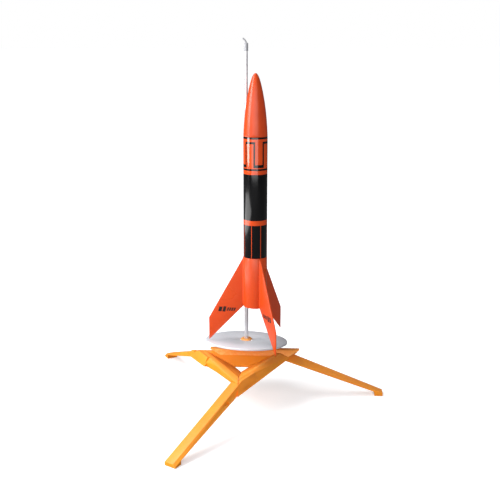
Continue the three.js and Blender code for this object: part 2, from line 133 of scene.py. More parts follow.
def polar(radius: float, bearing: float, height: float = 0.0) -> Vector:
    """A point at a radius and a bearing in degrees round the Z axis."""
    angle = math.radians(bearing)
    return Vector((radius * math.cos(angle), radius * math.sin(angle), height))


def smooth_path(points: Sequence[Vector], per_span: int) -> list[Vector]:
    """Runs a Catmull-Rom curve through points.

    Args:
        points: the points it passes.
        per_span: steps between two of them.

    Returns:
        The points of the curve.
    """
    ends = [points[0] * 2 - points[1], *points, points[-1] * 2 - points[-2]]
    path = []
    for a, b, c, d in zip(ends, ends[1:], ends[2:], ends[3:]):
        for step in range(per_span):
            t = step / per_span
            path.append((b * 2 + (c - a) * t + (a * 2 - b * 5 + c * 4 - d) * t * t
                         + (b * 3 - a - c * 3 + d) * t ** 3) / 2)
    return path + [points[-1].copy()]


def ring_profile(bore: float, radius: float) -> Callable[[float, float], Profile]:
    """Profile of a plain ring or tube.

    Args:
        bore: its inner radius.
        radius: its outer radius.

    Returns:
        A function of the lowest and highest point.
    """
    return lambda low, high: [(bore, low), (radius, low), (radius, high), (bore, high)]


def verts_of(made: Sequence[object]) -> list[bmesh.types.BMVert]:
    """The vertices among the elements that an operator made."""
    return [item for item in made if isinstance(item, bmesh.types.BMVert)]


def edges_of(made: Sequence[object]) -> list[bmesh.types.BMEdge]:
    """The edges among the elements that an operator made."""
    return [item for item in made if isinstance(item, bmesh.types.BMEdge)]


class Form:
    """A mesh in the making, in millimetres, shaped by bmesh operators."""

    def __init__(self) -> None:
        """Starts an empty mesh."""
        self.bm = bmesh.new()

    def turn(self, profile: Profile, steps: int = 96, closed: bool = True) -> list[bmesh.types.BMVert]:
        """Spins a profile of radius and height about the Z axis.

        Args:
            profile: its corners in order.
            steps: facets round the axis.
            closed: whether its last corner joins its first.

        Returns:
            The new vertices.
        """
        bm, before = self.bm, set(self.bm.verts)
        line = [bm.verts.new((radius, 0, height)) for radius, height in profile]
        edges = [bm.edges.new(pair) for pair in zip(line, line[1:])]
        if closed:
            edges.append(bm.edges.new((line[-1], line[0])))
        bmesh.ops.spin(bm, geom=line + edges, cent=(0, 0, 0), axis=(0, 0, 1), dvec=(0, 0, 0),
                       angle=TURN, steps=steps, use_merge=True, use_duplicate=False)
        made = [vert for vert in bm.verts if vert not in before]
        bmesh.ops.remove_doubles(bm, verts=made, dist=1e-4)
        return self.finished(before)

    def finished(self, before: set[bmesh.types.BMVert]) -> list[bmesh.types.BMVert]:
        """Turns the faces of a new shell outwards.

        Args:
            before: the vertices that were there already.

        Returns:
            The shell's vertices.
        """
        made = [vert for vert in self.bm.verts if vert not in before]
        faces = list({face for vert in made for face in vert.link_faces})
        bmesh.ops.recalc_face_normals(self.bm, faces=faces)
        return made

    def slab(self, outline: Sequence[Vector], thickness: Vector) -> list[bmesh.types.BMVert]:
        """Extrudes a flat outline, centred on its plane.

        Args:
            outline: its corners in order.
            thickness: direction and depth of the extrusion.

        Returns:
            The new vertices.
        """
        bm, before = self.bm, set(self.bm.verts)
        face = bm.faces.new([bm.verts.new(point - thickness / 2) for point in outline])
        grown = bmesh.ops.extrude_face_region(bm, geom=[face])["geom"]
        bmesh.ops.translate(bm, vec=thickness, verts=verts_of(grown))
        return self.finished(before)

    def sweep(self, path: Sequence[Vector], radius: float | Sequence[float],
              sides: int = 10, flat: float = 1.0) -> list[bmesh.types.BMVert]:
        """Extrudes a ring along a path and closes both ends.

        Args:
            path: the ring's centres.
            radius: one radius, or one for each centre.
            sides: facets round the strand.
            flat: height of the section as a share of its width.

        Returns:
            The new vertices.
        """
        bm, before = self.bm, set(self.bm.verts)
        radii = [radius] * len(path) if isinstance(radius, (int, float)) else list(radius)
        places = self.places(path, radii)
        ring = bmesh.ops.create_circle(bm, cap_ends=True, segments=sides, radius=1.0,
                                       matrix=places[0] @ Matrix.Diagonal((1, flat, 1, 1)))["verts"]
        edges = list({edge for vert in ring for edge in vert.link_edges})
        for last, place in zip(places, places[1:]):
            grown = bmesh.ops.extrude_edge_only(bm, edges=edges)["geom"]
            edges = edges_of(grown)
            bmesh.ops.transform(bm, matrix=place @ last.inverted(), verts=verts_of(grown))
        bmesh.ops.edgeloop_fill(bm, edges=edges)
        return self.finished(before)

    @staticmethod
    def places(path: Sequence[Vector], radii: Sequence[float]) -> list[Matrix]:
        """Frames along a path that turn as little as they can.

        Args:
            path: the centres.
            radii: the size at each centre.

        Returns:
            One matrix for each centre.
        """
        tangents = [(after - here).normalized() for here, after in zip(path, path[1:])]
        tangents.append(tangents[-1])
        turn = tangents[0].to_track_quat("Z", "Y")
        found = []
        for i, (point, size) in enumerate(zip(path, radii)):
            if i:
                turn = tangents[i - 1].rotation_difference(tangents[i]) @ turn
            found.append(Matrix.LocRotScale(point, turn, Vector((size, size, size))))
        return found

    def hoop(self, centre: Vector, radius: float, thick: float, axis: str = "Y") -> list[bmesh.types.BMVert]:
        """Spins a small circle into a closed hoop.

        Args:
            centre: the hoop's middle.
            radius: of its centreline.
            thick: radius of its wire.
            axis: the axis that it lies round, Y or Z.

        Returns:
            The new vertices.
        """
        bm, before = self.bm, set(self.bm.verts)
        about = Vector((0, 1, 0)) if axis == "Y" else Vector((0, 0, 1))
        turned = Matrix.Identity(4) if axis == "Y" else Matrix.Rotation(math.pi / 2, 4, "X")
        place = Matrix.Translation(centre + Vector((radius, 0, 0))) @ turned
        ring = bmesh.ops.create_circle(bm, cap_ends=False, segments=16, radius=thick, matrix=place)["verts"]
        edges = list({edge for vert in ring for edge in vert.link_edges})
        bmesh.ops.spin(bm, geom=list(ring) + edges, cent=centre, axis=about, dvec=(0, 0, 0),
                       angle=TURN, steps=40, use_merge=True, use_duplicate=False)
        return self.finished(before)

    def soften(self, width: float, segments: int = 2, angle: float = 28.0) -> None:
        """Bevels every edge that is sharper than an angle.

        Args:
            width: of the bevel.
            segments: of its rounding.
            angle: in degrees.
        """
        sharp = [edge for edge in self.bm.edges if len(edge.link_faces) == 2
                 and edge.calc_face_angle(0.0) > math.radians(angle)]
        bmesh.ops.bevel(self.bm, geom=sharp, offset=width, offset_type="OFFSET", segments=segments,
                        profile=0.5, affect="EDGES", clamp_overlap=True, material=-1)

    def move(self, place: Matrix, verts: Sequence[bmesh.types.BMVert] | None = None) -> None:
        """Moves some vertices, or all of them.

        Args:
            place: the transform.
            verts: what it moves.
        """
        bmesh.ops.transform(self.bm, matrix=place, verts=list(verts or self.bm.verts))

    def piece(self, name: str, finishes: Sequence[bpy.types.Material], body: Body, slot: Slot,
              nodes: Sequence[str] = (), crease: float = 32.0) -> bpy.types.Object:
        """Writes the mesh as a piece that rides on a body.

        Args:
            name: the piece's name.
            finishes: its materials, in the order of its faces' numbers.
            body: what it rides on.
            slot: not used.
            nodes: CAD nodes that it stands for.
            crease: angle above which its shading breaks, in degrees.

        Returns:
            The new object.
        """
        obj = self.loose(name, finishes, nodes, crease)
        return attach(obj, body.value)

    def loose(self, name: str, finishes: Sequence[bpy.types.Material],
              nodes: Sequence[str] = (), crease: float = 32.0) -> bpy.types.Object:
        """Writes the mesh as an object that rides on nothing yet.

        Args:
            name: the piece's name.
            finishes: its materials.
            nodes: CAD nodes that it stands for.
            crease: angle above which its shading breaks, in degrees.

        Returns:
            The new object.
        """
        bmesh.ops.scale(self.bm, vec=(MM, MM, MM), verts=self.bm.verts)
        mesh = bpy.data.meshes.new(name)
        self.bm.to_mesh(mesh)
        self.bm.free()
        for finish in finishes:
            mesh.materials.append(finish)
        mesh.shade_smooth()
        mesh.set_sharp_from_angle(angle=math.radians(crease))
        obj = bpy.data.objects.new(name, mesh)
        bpy.context.scene.collection.objects.link(obj)
        if nodes:
            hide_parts(*nodes)
        log.info("%s: %d faces", name, len(mesh.polygons))
        return obj

    @classmethod
    def copy_of(cls, node: str) -> "Form":
        """Copies a CAD node's mesh, merged and with its flat faces joined.

        Args:
            node: the node's name.

        Returns:
            The copy.
        """
        form = cls()
        form.bm.from_mesh(frame["nodes"][node].data)
        bmesh.ops.scale(form.bm, vec=(1 / MM, 1 / MM, 1 / MM), verts=form.bm.verts)
        bmesh.ops.remove_doubles(form.bm, verts=form.bm.verts, dist=2e-3)
        bmesh.ops.dissolve_degenerate(form.bm, edges=form.bm.edges, dist=2e-3)
        bmesh.ops.dissolve_limit(form.bm, angle_limit=math.radians(0.6), use_dissolve_boundaries=False,
                                 verts=form.bm.verts, edges=form.bm.edges, delimit={"NORMAL"})
        for face in form.bm.faces:
            face.material_index = 0
        return form


# ------------------------------------------------------------------ shader nodes
def rgb(red: int, green: int, blue: int) -> Colour:
    """A display colour, 0 to 255, as a linear one."""
    def linear(value: int) -> float:
        """One channel as linear light."""
        share = value / 255
        return share / 12.92 if share <= 0.04045 else ((share + 0.055) / 1.055) ** 2.4
    return linear(red), linear(green), linear(blue), 1.0


class Graph:
    """Writes shader nodes into a tree, one call a node."""

    def __init__(self, tree: bpy.types.NodeTree) -> None:
        """Takes the tree to write in."""
        self.tree = tree

    def add(self, kind: str, inputs: dict | None = None, **settings: object) -> bpy.types.Node:
        """Adds a node.

        Args:
            kind: its type.
            inputs: what its sockets hold or are linked to.
            settings: its own properties.

        Returns:
            The node.
        """
        node = self.tree.nodes.new(kind)
        for key, value in settings.items():
            setattr(node, key, value)
        for key, value in (inputs or {}).items():
            self.feed(node.inputs[key], value)
        return node

    def feed(self, socket: bpy.types.NodeSocket, value: object) -> None:
        """Links a socket to another one, or sets it."""
        if isinstance(value, bpy.types.NodeSocket):
            self.tree.links.new(value, socket)
        else:
            socket.default_value = value

    def math(self, operation: str, *values: object) -> bpy.types.NodeSocket:
        """Adds a Math node.

        Args:
            operation: its operation.
            values: its inputs in order.

        Returns:
            Its result.
        """
        return self.add("ShaderNodeMath", dict(enumerate(values)), operation=operation).outputs[0]

    def mix(self, share: object, first: object, second: object) -> bpy.types.NodeSocket:
        """Mixes two colours.

        Args:
            share: how much of the second.
            first: the colour at 0.
            second: the colour at 1.

        Returns:
            The mixed colour.
        """
        node = self.add("ShaderNodeMix", {0: share, 6: first, 7: second}, data_type="RGBA")
        return node.outputs[2]

    def spread(self, value: object, low: float, high: float) -> bpy.types.NodeSocket:
        """Stretches a value from 0..1 to a range.

        Args:
            value: what it reads.
            low: result at 0.
            high: result at 1.

        Returns:
            The result.
        """
        return self.add("ShaderNodeMapRange", {0: value, 3: low, 4: high}).outputs[0]

    def within(self, value: object, low: float, high: float) -> bpy.types.NodeSocket:
        """1 where a value lies between two limits."""
        above = self.math("GREATER_THAN", value, low)
        return self.math("MULTIPLY", above, self.math("LESS_THAN", value, high))

    def centred(self, axis: Vector, turn: float = 0.0) -> bpy.types.NodeSocket:
        """Object coordinates in millimetres about a vertical axis.

        Args:
            axis: the axis's foot, in millimetres.
            turn: extra turn about Z, in radians.

        Returns:
            The coordinates.
        """
        place = self.add("ShaderNodeTexCoord").outputs["Object"]
        moved = self.add("ShaderNodeMapping", {"Vector": place, "Location": -axis * MM}).outputs[0]
        return self.add("ShaderNodeMapping", {"Vector": moved, "Rotation": (0, 0, turn),
                                              "Scale": (1 / MM, 1 / MM, 1 / MM)}).outputs[0]

    def noise(self, vector: object, scale: float, detail: float = 3.0,
              rough: float = 0.55) -> bpy.types.NodeSocket:
        """Adds a noise texture.

        Args:
            vector: where it reads.
            scale: its scale.
            detail: its octaves.
            rough: its roughness.

        Returns:
            Its value, 0 to 1.
        """
        return self.add("ShaderNodeTexNoise", {"Vector": vector, "Scale": scale, "Detail": detail,
                                               "Roughness": rough}).outputs[0]


class Effects:
    """Node groups that several finishes share. Each is built once."""

    built: dict[str, bpy.types.NodeTree] = {}

    @classmethod
    def group(cls, name: str, inputs: dict[str, float | None], outputs: Sequence[str],
              write: Callable[[Graph, bpy.types.Node], dict]) -> bpy.types.NodeTree:
        """Builds a group, or finds the one that is there.

        Args:
            name: the group's name.
            inputs: its inputs, where None marks the vector.
            outputs: its outputs, all values.
            write: what fills it, and says what each output reads.

        Returns:
            The group's tree.
        """
        if name not in cls.built:
            tree = bpy.data.node_groups.new(name, "ShaderNodeTree")
            for label, value in inputs.items():
                kind = "NodeSocketVector" if value is None else "NodeSocketFloat"
                socket = tree.interface.new_socket(label, in_out="INPUT", socket_type=kind)
                if value is not None:
                    socket.default_value = value
            for label in outputs:
                tree.interface.new_socket(label, in_out="OUTPUT", socket_type="NodeSocketFloat")
            graph = Graph(tree)
            results = write(graph, graph.add("NodeGroupInput"))
            graph.add("NodeGroupOutput", results)
            cls.built[name] = tree
        return cls.built[name]

    @classmethod
    def place(cls, graph: Graph, tree: bpy.types.NodeTree, inputs: dict) -> bpy.types.Node:
        """Puts a group into a material.

        Args:
            graph: the material's graph.
            tree: the group.
            inputs: its values there.

        Returns:
            The group's node.
        """
        node = graph.tree.nodes.new("ShaderNodeGroup")
        node.node_tree = tree
        for key, value in inputs.items():
            graph.feed(node.inputs[key], value)
        return node

    @classmethod
    def skin(cls, graph: Graph, vector: object, grain: float, cloud: float) -> bpy.types.Node:
        """Moulded skin: slow clouds of tone and a fine orange-peel grain.

        Args:
            graph: the material's graph.
            vector: millimetre coordinates.
            grain: scale of the fine grain.
            cloud: scale of the slow tone.

        Returns:
            A node with Tone and Height.
        """
        def write(g: Graph, given: bpy.types.Node) -> dict:
            """Fills the group."""
            where = given.outputs["Vector"]
            tone = g.add("ShaderNodeTexNoise",
                         {"Vector": where, "Scale": given.outputs["Cloud"], "Detail": 4.0})
            fine = g.add("ShaderNodeTexNoise",
                         {"Vector": where, "Scale": given.outputs["Grain"], "Detail": 2.0})
            return {"Tone": g.spread(tone.outputs[0], -0.6, 1.6), "Height": fine.outputs[0]}
        tree = cls.group("moulded_skin", {"Vector": None, "Grain": 2.0, "Cloud": 0.05},
                         ("Tone", "Height"), write)
        return cls.place(graph, tree, {"Vector": vector, "Grain": grain, "Cloud": cloud})

    @classmethod
    def wear(cls, graph: Graph, vector: object, amount: float) -> bpy.types.NodeSocket:
        """Edge wear: rubbed corners, broken up by noise.

        Args:
            graph: the material's graph.
            vector: millimetre coordinates.
            amount: how much, 0 to 1.

        Returns:
            The mask.
        """
        def write(g: Graph, given: bpy.types.Node) -> dict:
            """Fills the group."""
            point = g.add("ShaderNodeNewGeometry").outputs["Pointiness"]
            edge = g.add("ShaderNodeMapRange", {0: point, 1: 0.52, 2: 0.62}).outputs[0]
            patch = g.noise(given.outputs["Vector"], 0.35, 5.0, 0.7)
            broken = g.add("ShaderNodeMapRange", {0: patch, 1: 0.38, 2: 0.62}).outputs[0]
            return {"Mask": g.math("MULTIPLY", g.math("MULTIPLY", edge, broken), given.outputs["Amount"])}
        tree = cls.group("edge_wear", {"Vector": None, "Amount": 0.5}, ("Mask",), write)
        return cls.place(graph, tree, {"Vector": vector, "Amount": amount}).outputs["Mask"]

    @classmethod
    def dust(cls, graph: Graph, vector: object, amount: float) -> bpy.types.NodeSocket:
        """Dust: a patchy veil on faces that look up.

        Args:
            graph: the material's graph.
            vector: millimetre coordinates.
            amount: how much, 0 to 1.

        Returns:
            The mask.
        """
        def write(g: Graph, given: bpy.types.Node) -> dict:
            """Fills the group."""
            normal = g.add("ShaderNodeNewGeometry").outputs["Normal"]
            up = g.add("ShaderNodeSeparateXYZ", {0: normal}).outputs[2]
            lies = g.add("ShaderNodeMapRange", {0: up, 1: 0.3, 2: 1.0}).outputs[0]
            patch = g.noise(given.outputs["Vector"], 0.12, 6.0, 0.65)
            return {"Mask": g.math("MULTIPLY", g.math("MULTIPLY", lies, patch), given.outputs["Amount"])}
        tree = cls.group("dust", {"Vector": None, "Amount": 0.2}, ("Mask",), write)
        return cls.place(graph, tree, {"Vector": vector, "Amount": amount}).outputs["Mask"]

    @classmethod
    def fibre(cls, graph: Graph, vector: object, scale: float) -> bpy.types.Node:
        """Paper fibre: short tangled streaks.

        Args:
            graph: the material's graph.
            vector: millimetre coordinates.
            scale: fibres in a millimetre.

        Returns:
            A node with Tone and Height.
        """
        def write(g: Graph, given: bpy.types.Node) -> dict:
            """Fills the group."""
            long = g.add("ShaderNodeMapping", {"Vector": given.outputs["Vector"], "Scale": (1.0, 1.0, 0.22)})
            across = g.add("ShaderNodeTexNoise", {"Vector": long.outputs[0], "Scale": given.outputs["Scale"],
                                                  "Detail": 5.0, "Distortion": 1.4})
            fleck = g.add("ShaderNodeTexVoronoi", {"Vector": given.outputs["Vector"],
                                                   "Scale": given.outputs["Scale"]})
            tone = g.math("MULTIPLY", g.spread(across.outputs[0], -0.4, 1.5),
                          g.spread(fleck.outputs[0], 1.1, 0.75))
            return {"Tone": tone, "Height": across.outputs[0]}
        tree = cls.group("paper_fibre", {"Vector": None, "Scale": 1.0}, ("Tone", "Height"), write)
        return cls.place(graph, tree, {"Vector": vector, "Scale": scale})

    @classmethod
    def brushed(cls, graph: Graph, vector: object, fine: float) -> bpy.types.Node:
        """Brushed metal: fine streaks along Z of the coordinates that it is given.

        Args:
            graph: the material's graph.
            vector: coordinates.
            fine: streaks in a unit.

        Returns:
            A node with Tone and Height.
        """
        def write(g: Graph, given: bpy.types.Node) -> dict:
            """Fills the group."""
            drawn = g.add("ShaderNodeMapping", {"Vector": given.outputs["Vector"], "Scale": (1.0, 1.0, 0.02)})
            lines = g.add("ShaderNodeTexNoise", {"Vector": drawn.outputs[0], "Scale": given.outputs["Fine"],
                                                 "Detail": 3.0})
            cloud = g.noise(given.outputs["Vector"], 0.07, 4.0, 0.6)
            return {"Tone": g.math("MULTIPLY", lines.outputs[0], g.spread(cloud, 0.5, 1.5)),
                    "Height": lines.outputs[0]}
        tree = cls.group("brushed_metal", {"Vector": None, "Fine": 3.0}, ("Tone", "Height"), write)
        return cls.place(graph, tree, {"Vector": vector, "Fine": fine})


@dataclass(frozen=True)
class Finish:
    """What every finish has: a name, two tones and a roughness range."""

    name: str
    tone: Colour
    deep: Colour
    smooth: float = 0.3
    rough: float = 0.42

    def start(self) -> tuple[bpy.types.Material, Graph, bpy.types.Node]:
        """Makes the material with its Principled shader.

        Returns:
            The material, its graph and the shader.
        """
        material = bpy.data.materials.new(self.name)
        material.use_nodes = True
        graph = Graph(material.node_tree)
        return material, graph, material.node_tree.nodes["Principled BSDF"]

    def bump(self, graph: Graph, shader: bpy.types.Node, height: object,
             strength: float, depth: float) -> None:
        """Feeds a height into the shader's normal.

        Args:
            graph: the material's graph.
            shader: the Principled shader.
            height: the height's socket.
            strength: of the bump.
            depth: the height's size, in millimetres.
        """
        node = graph.add("ShaderNodeBump", {"Strength": strength, "Distance": depth * MM, "Height": height})
        graph.feed(shader.inputs["Normal"], node.outputs[0])


@dataclass(frozen=True)
class Moulding(Finish):
    """Coloured moulded plastic."""

    rubbed: Colour = (0.9, 0.5, 0.3, 1.0)
    grain: float = 2.2
    relief: float = 0.02
    wear: float = 0.35
    dust: float = 0.1
    veil: Colour = rgb(226, 206, 182)
    coat: float = 0.0

    def material(self) -> bpy.types.Material:
        """Builds the material.

        Returns:
            The material.
        """
        material, graph, shader = self.start()
        place = graph.centred(Vector())
        skin = Effects.skin(graph, place, self.grain, 0.035)
        body = graph.mix(skin.outputs["Tone"], self.tone, self.deep)
        rubbed = graph.mix(Effects.wear(graph, place, self.wear), body, self.rubbed)
        dusty = graph.mix(Effects.dust(graph, place, self.dust), rubbed, self.veil)
        graph.feed(shader.inputs["Base Color"], dusty)
        graph.feed(shader.inputs["Roughness"], graph.spread(skin.outputs["Tone"], self.smooth, self.rough))
        shader.inputs["Coat Weight"].default_value = self.coat
        shader.inputs["Coat Roughness"].default_value = 0.12
        self.bump(graph, shader, skin.outputs["Height"], 0.35, self.relief)
        return material


@dataclass(frozen=True)
class Metal(Finish):
    """Bare metal with fine streaks, straight along Z or in rings round an axis."""

    metallic: float = 0.9
    fine: float = 5.0
    axis: Vector | None = None

    def material(self) -> bpy.types.Material:
        """Builds the material.

        Returns:
            The material.
        """
        material, graph, shader = self.start()
        place = graph.centred(self.axis or Vector())
        if self.axis is not None:
            parts = graph.add("ShaderNodeSeparateXYZ", {0: place}).outputs
            reach = graph.math("SQRT", graph.math("ADD", graph.math("MULTIPLY", parts[0], parts[0]),
                                                  graph.math("MULTIPLY", parts[1], parts[1])))
            around = graph.math("ARCTAN2", parts[0], parts[1])
            place = graph.add("ShaderNodeCombineXYZ", {0: reach, 1: parts[2],
                                                       2: graph.math("MULTIPLY", around, 20.0)}).outputs[0]
        lines = Effects.brushed(graph, place, self.fine)
        graph.feed(shader.inputs["Base Color"], graph.mix(lines.outputs["Tone"], self.tone, self.deep))
        graph.feed(shader.inputs["Roughness"], graph.spread(lines.outputs["Tone"], self.smooth, self.rough))
        shader.inputs["Metallic"].default_value = self.metallic
        self.bump(graph, shader, lines.outputs["Height"], 0.3, 0.01)
        return material


@dataclass(frozen=True)
class Paper(Finish):
    """Paper, card, clay or tissue: matt and fibrous."""

    fibres: float = 1.0
    relief: float = 0.06
    sheen: float = 0.0
    through: float = 0.0

    def material(self) -> bpy.types.Material:
        """Builds the material.

        Returns:
            The material.
        """
        material, graph, shader = self.start()
        place = graph.centred(Vector())
        fibre = Effects.fibre(graph, place, self.fibres)
        graph.feed(shader.inputs["Base Color"], graph.mix(fibre.outputs["Tone"], self.tone, self.deep))
        graph.feed(shader.inputs["Roughness"], graph.spread(fibre.outputs["Tone"], self.smooth, self.rough))
        shader.inputs["Sheen Weight"].default_value = self.sheen
        shader.inputs["Subsurface Weight"].default_value = self.through
        shader.inputs["Subsurface Scale"].default_value = 0.002
        self.bump(graph, shader, fibre.outputs["Height"], 0.5, self.relief)
        return material


@dataclass(frozen=True)
class PrintedWrap(Finish):
    """The printed wrap of the body tube: black bands and a square key border on orange."""

    axis: Vector = Vector()
    ink: Colour = (0.0015, 0.0015, 0.002, 1.0)
    rings: tuple[tuple[float, float], ...] = ((283.3, 285.4), (251.4, 253.3), (199.5, 247.4))
    lined_band: tuple[float, float] = (150.0, 194.4)
    key_zone: tuple[float, float] = (254.4, 280.7)
    key_top: float = 278.5
    key_bottom: float = 257.4
    pitch: float = 45.0
    bar_phase: float = -6.0
    bar_width: float = 8.0
    line_phase: float = 26.0
    line_width: float = 3.0
    winding_pitch: float = 62.0

    def stripes(self, graph: Graph, angle: object, phase: float,
                width: float, pitch: float) -> bpy.types.NodeSocket:
        """Marks upright stripes at equal angles.

        Args:
            graph: the material's graph.
            angle: degrees round the tube.
            phase: the middle of one stripe.
            width: of a stripe, in degrees.
            pitch: from stripe to stripe, in degrees.

        Returns:
            The mask.
        """
        share = graph.math("DIVIDE", graph.math("SUBTRACT", angle, phase - 10 * 360), pitch)
        off = graph.math("ABSOLUTE", graph.math("SUBTRACT", share, graph.math("ROUND", share)))
        return graph.math("LESS_THAN", off, width / pitch / 2)

    def material(self) -> bpy.types.Material:
        """Builds the material.

        Returns:
            The material.
        """
        material, graph, shader = self.start()
        place = graph.centred(self.axis)
        parts = graph.add("ShaderNodeSeparateXYZ", {0: place}).outputs
        height = parts[2]
        angle = graph.math("DEGREES", graph.math("ARCTAN2", parts[0], graph.math("MULTIPLY", parts[1], -1.0)))
        zone = graph.within(height, *self.key_zone)
        bars = self.stripes(graph, angle, self.bar_phase, self.bar_width, self.pitch)
        half = self.pitch / 2
        top = graph.math("MULTIPLY", graph.math("GREATER_THAN", height, self.key_top),
                         self.stripes(graph, angle, self.bar_phase - half, self.pitch, 2 * self.pitch))
        foot = graph.math("MULTIPLY", graph.math("LESS_THAN", height, self.key_bottom),
                          self.stripes(graph, angle, self.bar_phase + half, self.pitch, 2 * self.pitch))
        inked = graph.math("MULTIPLY", zone, graph.math("MAXIMUM", bars, graph.math("MAXIMUM", top, foot)))
        for low, high in self.rings:
            inked = graph.math("MAXIMUM", inked, graph.within(height, low, high))
        lines = self.stripes(graph, angle, self.line_phase, self.line_width, self.pitch)
        lined = graph.math("MULTIPLY", graph.within(height, *self.lined_band),
                           graph.math("SUBTRACT", 1.0, lines))
        inked = graph.math("MAXIMUM", inked, lined)
        skin = Effects.skin(graph, place, 1.6, 0.05)
        ground = graph.mix(skin.outputs["Tone"], self.tone, self.deep)
        printed = graph.mix(inked, ground, self.ink)
        patches = graph.noise(place, 0.3, 6.0, 0.7)
        scuff = graph.add("ShaderNodeMapRange", {0: patches, 1: 0.55, 2: 0.8}).outputs[0]
        graph.feed(shader.inputs["Base Color"], printed)
        gloss = graph.math("ADD", graph.spread(skin.outputs["Tone"], self.smooth, self.rough),
                           graph.math("MULTIPLY", scuff, 0.15))
        graph.feed(shader.inputs["Roughness"], gloss)
        shader.inputs["Coat Weight"].default_value = 0.3
        shader.inputs["Coat Roughness"].default_value = 0.1
        climb = graph.math("MULTIPLY", height, TURN / self.winding_pitch)
        winding = graph.math("SINE", graph.math("ADD", climb, graph.math("MULTIPLY", angle, math.pi / 180)))
        groove = graph.math("POWER", graph.math("ABSOLUTE", winding), 0.08)
        relief = graph.math("ADD", groove, graph.math("MULTIPLY", skin.outputs["Height"], 0.08))
        self.bump(graph, shader, relief, 0.2, 0.02)
        return material


@dataclass(frozen=True)
class Film(Finish):
    """Thin plastic film printed in checks, read from the sheet's own UV map."""

    check: float = 12.0

    def material(self) -> bpy.types.Material:
        """Builds the material.

        Returns:
            The material.
        """
        material, graph, shader = self.start()
        place = graph.add("ShaderNodeUVMap", uv_map="canopy").outputs[0]
        checks = graph.add("ShaderNodeTexChecker", {"Vector": place, "Color1": self.tone, "Color2": self.deep,
                                                    "Scale": 1 / self.check})
        cloud = graph.noise(place, 0.2, 5.0, 0.6)
        faded = graph.mix(graph.spread(cloud, 0.0, 0.22), checks.outputs[0], rgb(236, 226, 214))
        graph.feed(shader.inputs["Base Color"], faded)
        graph.feed(shader.inputs["Roughness"], graph.spread(cloud, self.smooth, self.rough))
        self.bump(graph, shader, graph.noise(place, 0.8, 3.0), 0.4, 0.1)
        return material


@dataclass(frozen=True)
class Braid(Finish):
    """Braided or twisted cord: fine slanting ribs, broken up by fuzz."""

    ribs: float = 1.1

    def material(self) -> bpy.types.Material:
        """Builds the material.

        Returns:
            The material.
        """
        material, graph, shader = self.start()
        place = graph.centred(Vector())
        wave = graph.add("ShaderNodeTexWave", {"Vector": place, "Scale": self.ribs, "Distortion": 1.5,
                                               "Detail": 2.0}, bands_direction="DIAGONAL")
        fuzz = graph.noise(place, 2.5, 4.0, 0.7)
        tone = graph.math("MULTIPLY", wave.outputs[1], graph.spread(fuzz, 0.6, 1.2))
        graph.feed(shader.inputs["Base Color"], graph.mix(tone, self.deep, self.tone))
        graph.feed(shader.inputs["Roughness"], graph.spread(fuzz, self.smooth, self.rough))
        shader.inputs["Sheen Weight"].default_value = 0.3
        self.bump(graph, shader, tone, 0.8, 0.15)
        return material


class Finishes:
    """All finishes of the object, each made once."""

    def __init__(self) -> None:
        """Makes the materials."""
        rocket_axis = axis_of("body_tube")
        self.rocket = Moulding("orange_red_plastic", rgb(217, 74, 20), rgb(209, 66, 18), 0.26, 0.36,
                               rubbed=rgb(255, 140, 90), grain=1.8, relief=0.008, wear=0.2, dust=0.02,
                               coat=0.03).material()
        self.pad = Moulding("amber_plastic", rgb(253, 155, 22), rgb(249, 140, 17), 0.36, 0.52,
                            rubbed=rgb(255, 208, 120), grain=2.6, relief=0.03, wear=0.5, dust=0.12).material()
        self.holder = Moulding("amber_plastic_smooth", rgb(246, 168, 84), rgb(240, 154, 68), 0.3, 0.45,
                               rubbed=rgb(255, 205, 150), grain=3.0, relief=0.015, wear=0.4,
                               dust=0.1).material()
        self.wrap = PrintedWrap("printed_wrap", rgb(220, 77, 25), rgb(214, 69, 23), 0.12, 0.18,
                                axis=rocket_axis).material()
        self.ink = Moulding("black_decal", rgb(30, 22, 22), rgb(40, 28, 26), 0.3, 0.45,
                            rubbed=rgb(70, 60, 58), grain=4.0, relief=0.006, wear=0.2, dust=0.02).material()
        self.clear = Moulding("grey_safety_plastic", rgb(176, 176, 180), rgb(158, 158, 163), 0.25, 0.4,
                              rubbed=rgb(214, 214, 218), grain=3.0, relief=0.01, wear=0.3,
                              dust=0.05).material()
        self.plate = Metal("tinned_plate", rgb(224, 226, 232), rgb(204, 208, 214), 0.38, 0.55, metallic=0.1,
                           fine=2.2, axis=axis_of("launch_rod")).material()
        self.rod = Metal("drawn_steel", rgb(228, 226, 228), rgb(204, 202, 206), 0.28, 0.42, metallic=0.45,
                         fine=6.0).material()
        self.bolt = Metal("zinc_plated", rgb(196, 198, 200), rgb(164, 168, 172), 0.28, 0.45, metallic=0.9,
                          fine=3.0).material()
        self.white = Paper("white_paper", rgb(232, 228, 218), rgb(214, 208, 196), 0.6, 0.8, fibres=1.6,
                           relief=0.03).material()
        self.kraft = Paper("kraft_card", rgb(186, 146, 98), rgb(150, 112, 70), 0.7, 0.9, fibres=1.1,
                           relief=0.05).material()
        self.clay = Paper("pressed_clay", rgb(168, 160, 148), rgb(140, 132, 120), 0.8, 0.95, fibres=2.2,
                          relief=0.12).material()
        self.powder = Paper("pressed_powder", rgb(58, 54, 50), rgb(34, 32, 30), 0.85, 0.98, fibres=3.5,
                            relief=0.15).material()
        self.tissue = Paper("wadding_tissue", rgb(206, 222, 228), rgb(184, 204, 214), 0.85, 0.98, fibres=1.4,
                            relief=0.1, sheen=0.2, through=0.15).material()
        self.film = Film("checked_film", rgb(244, 240, 232), rgb(238, 92, 36), 0.3, 0.5).material()
        self.elastic = Braid("white_elastic", rgb(240, 236, 228), rgb(196, 190, 180), 0.7, 0.9).material()
        self.thread = Braid("twisted_thread", rgb(234, 230, 222), rgb(176, 170, 160), 0.65, 0.85,
                            ribs=2.4).material()


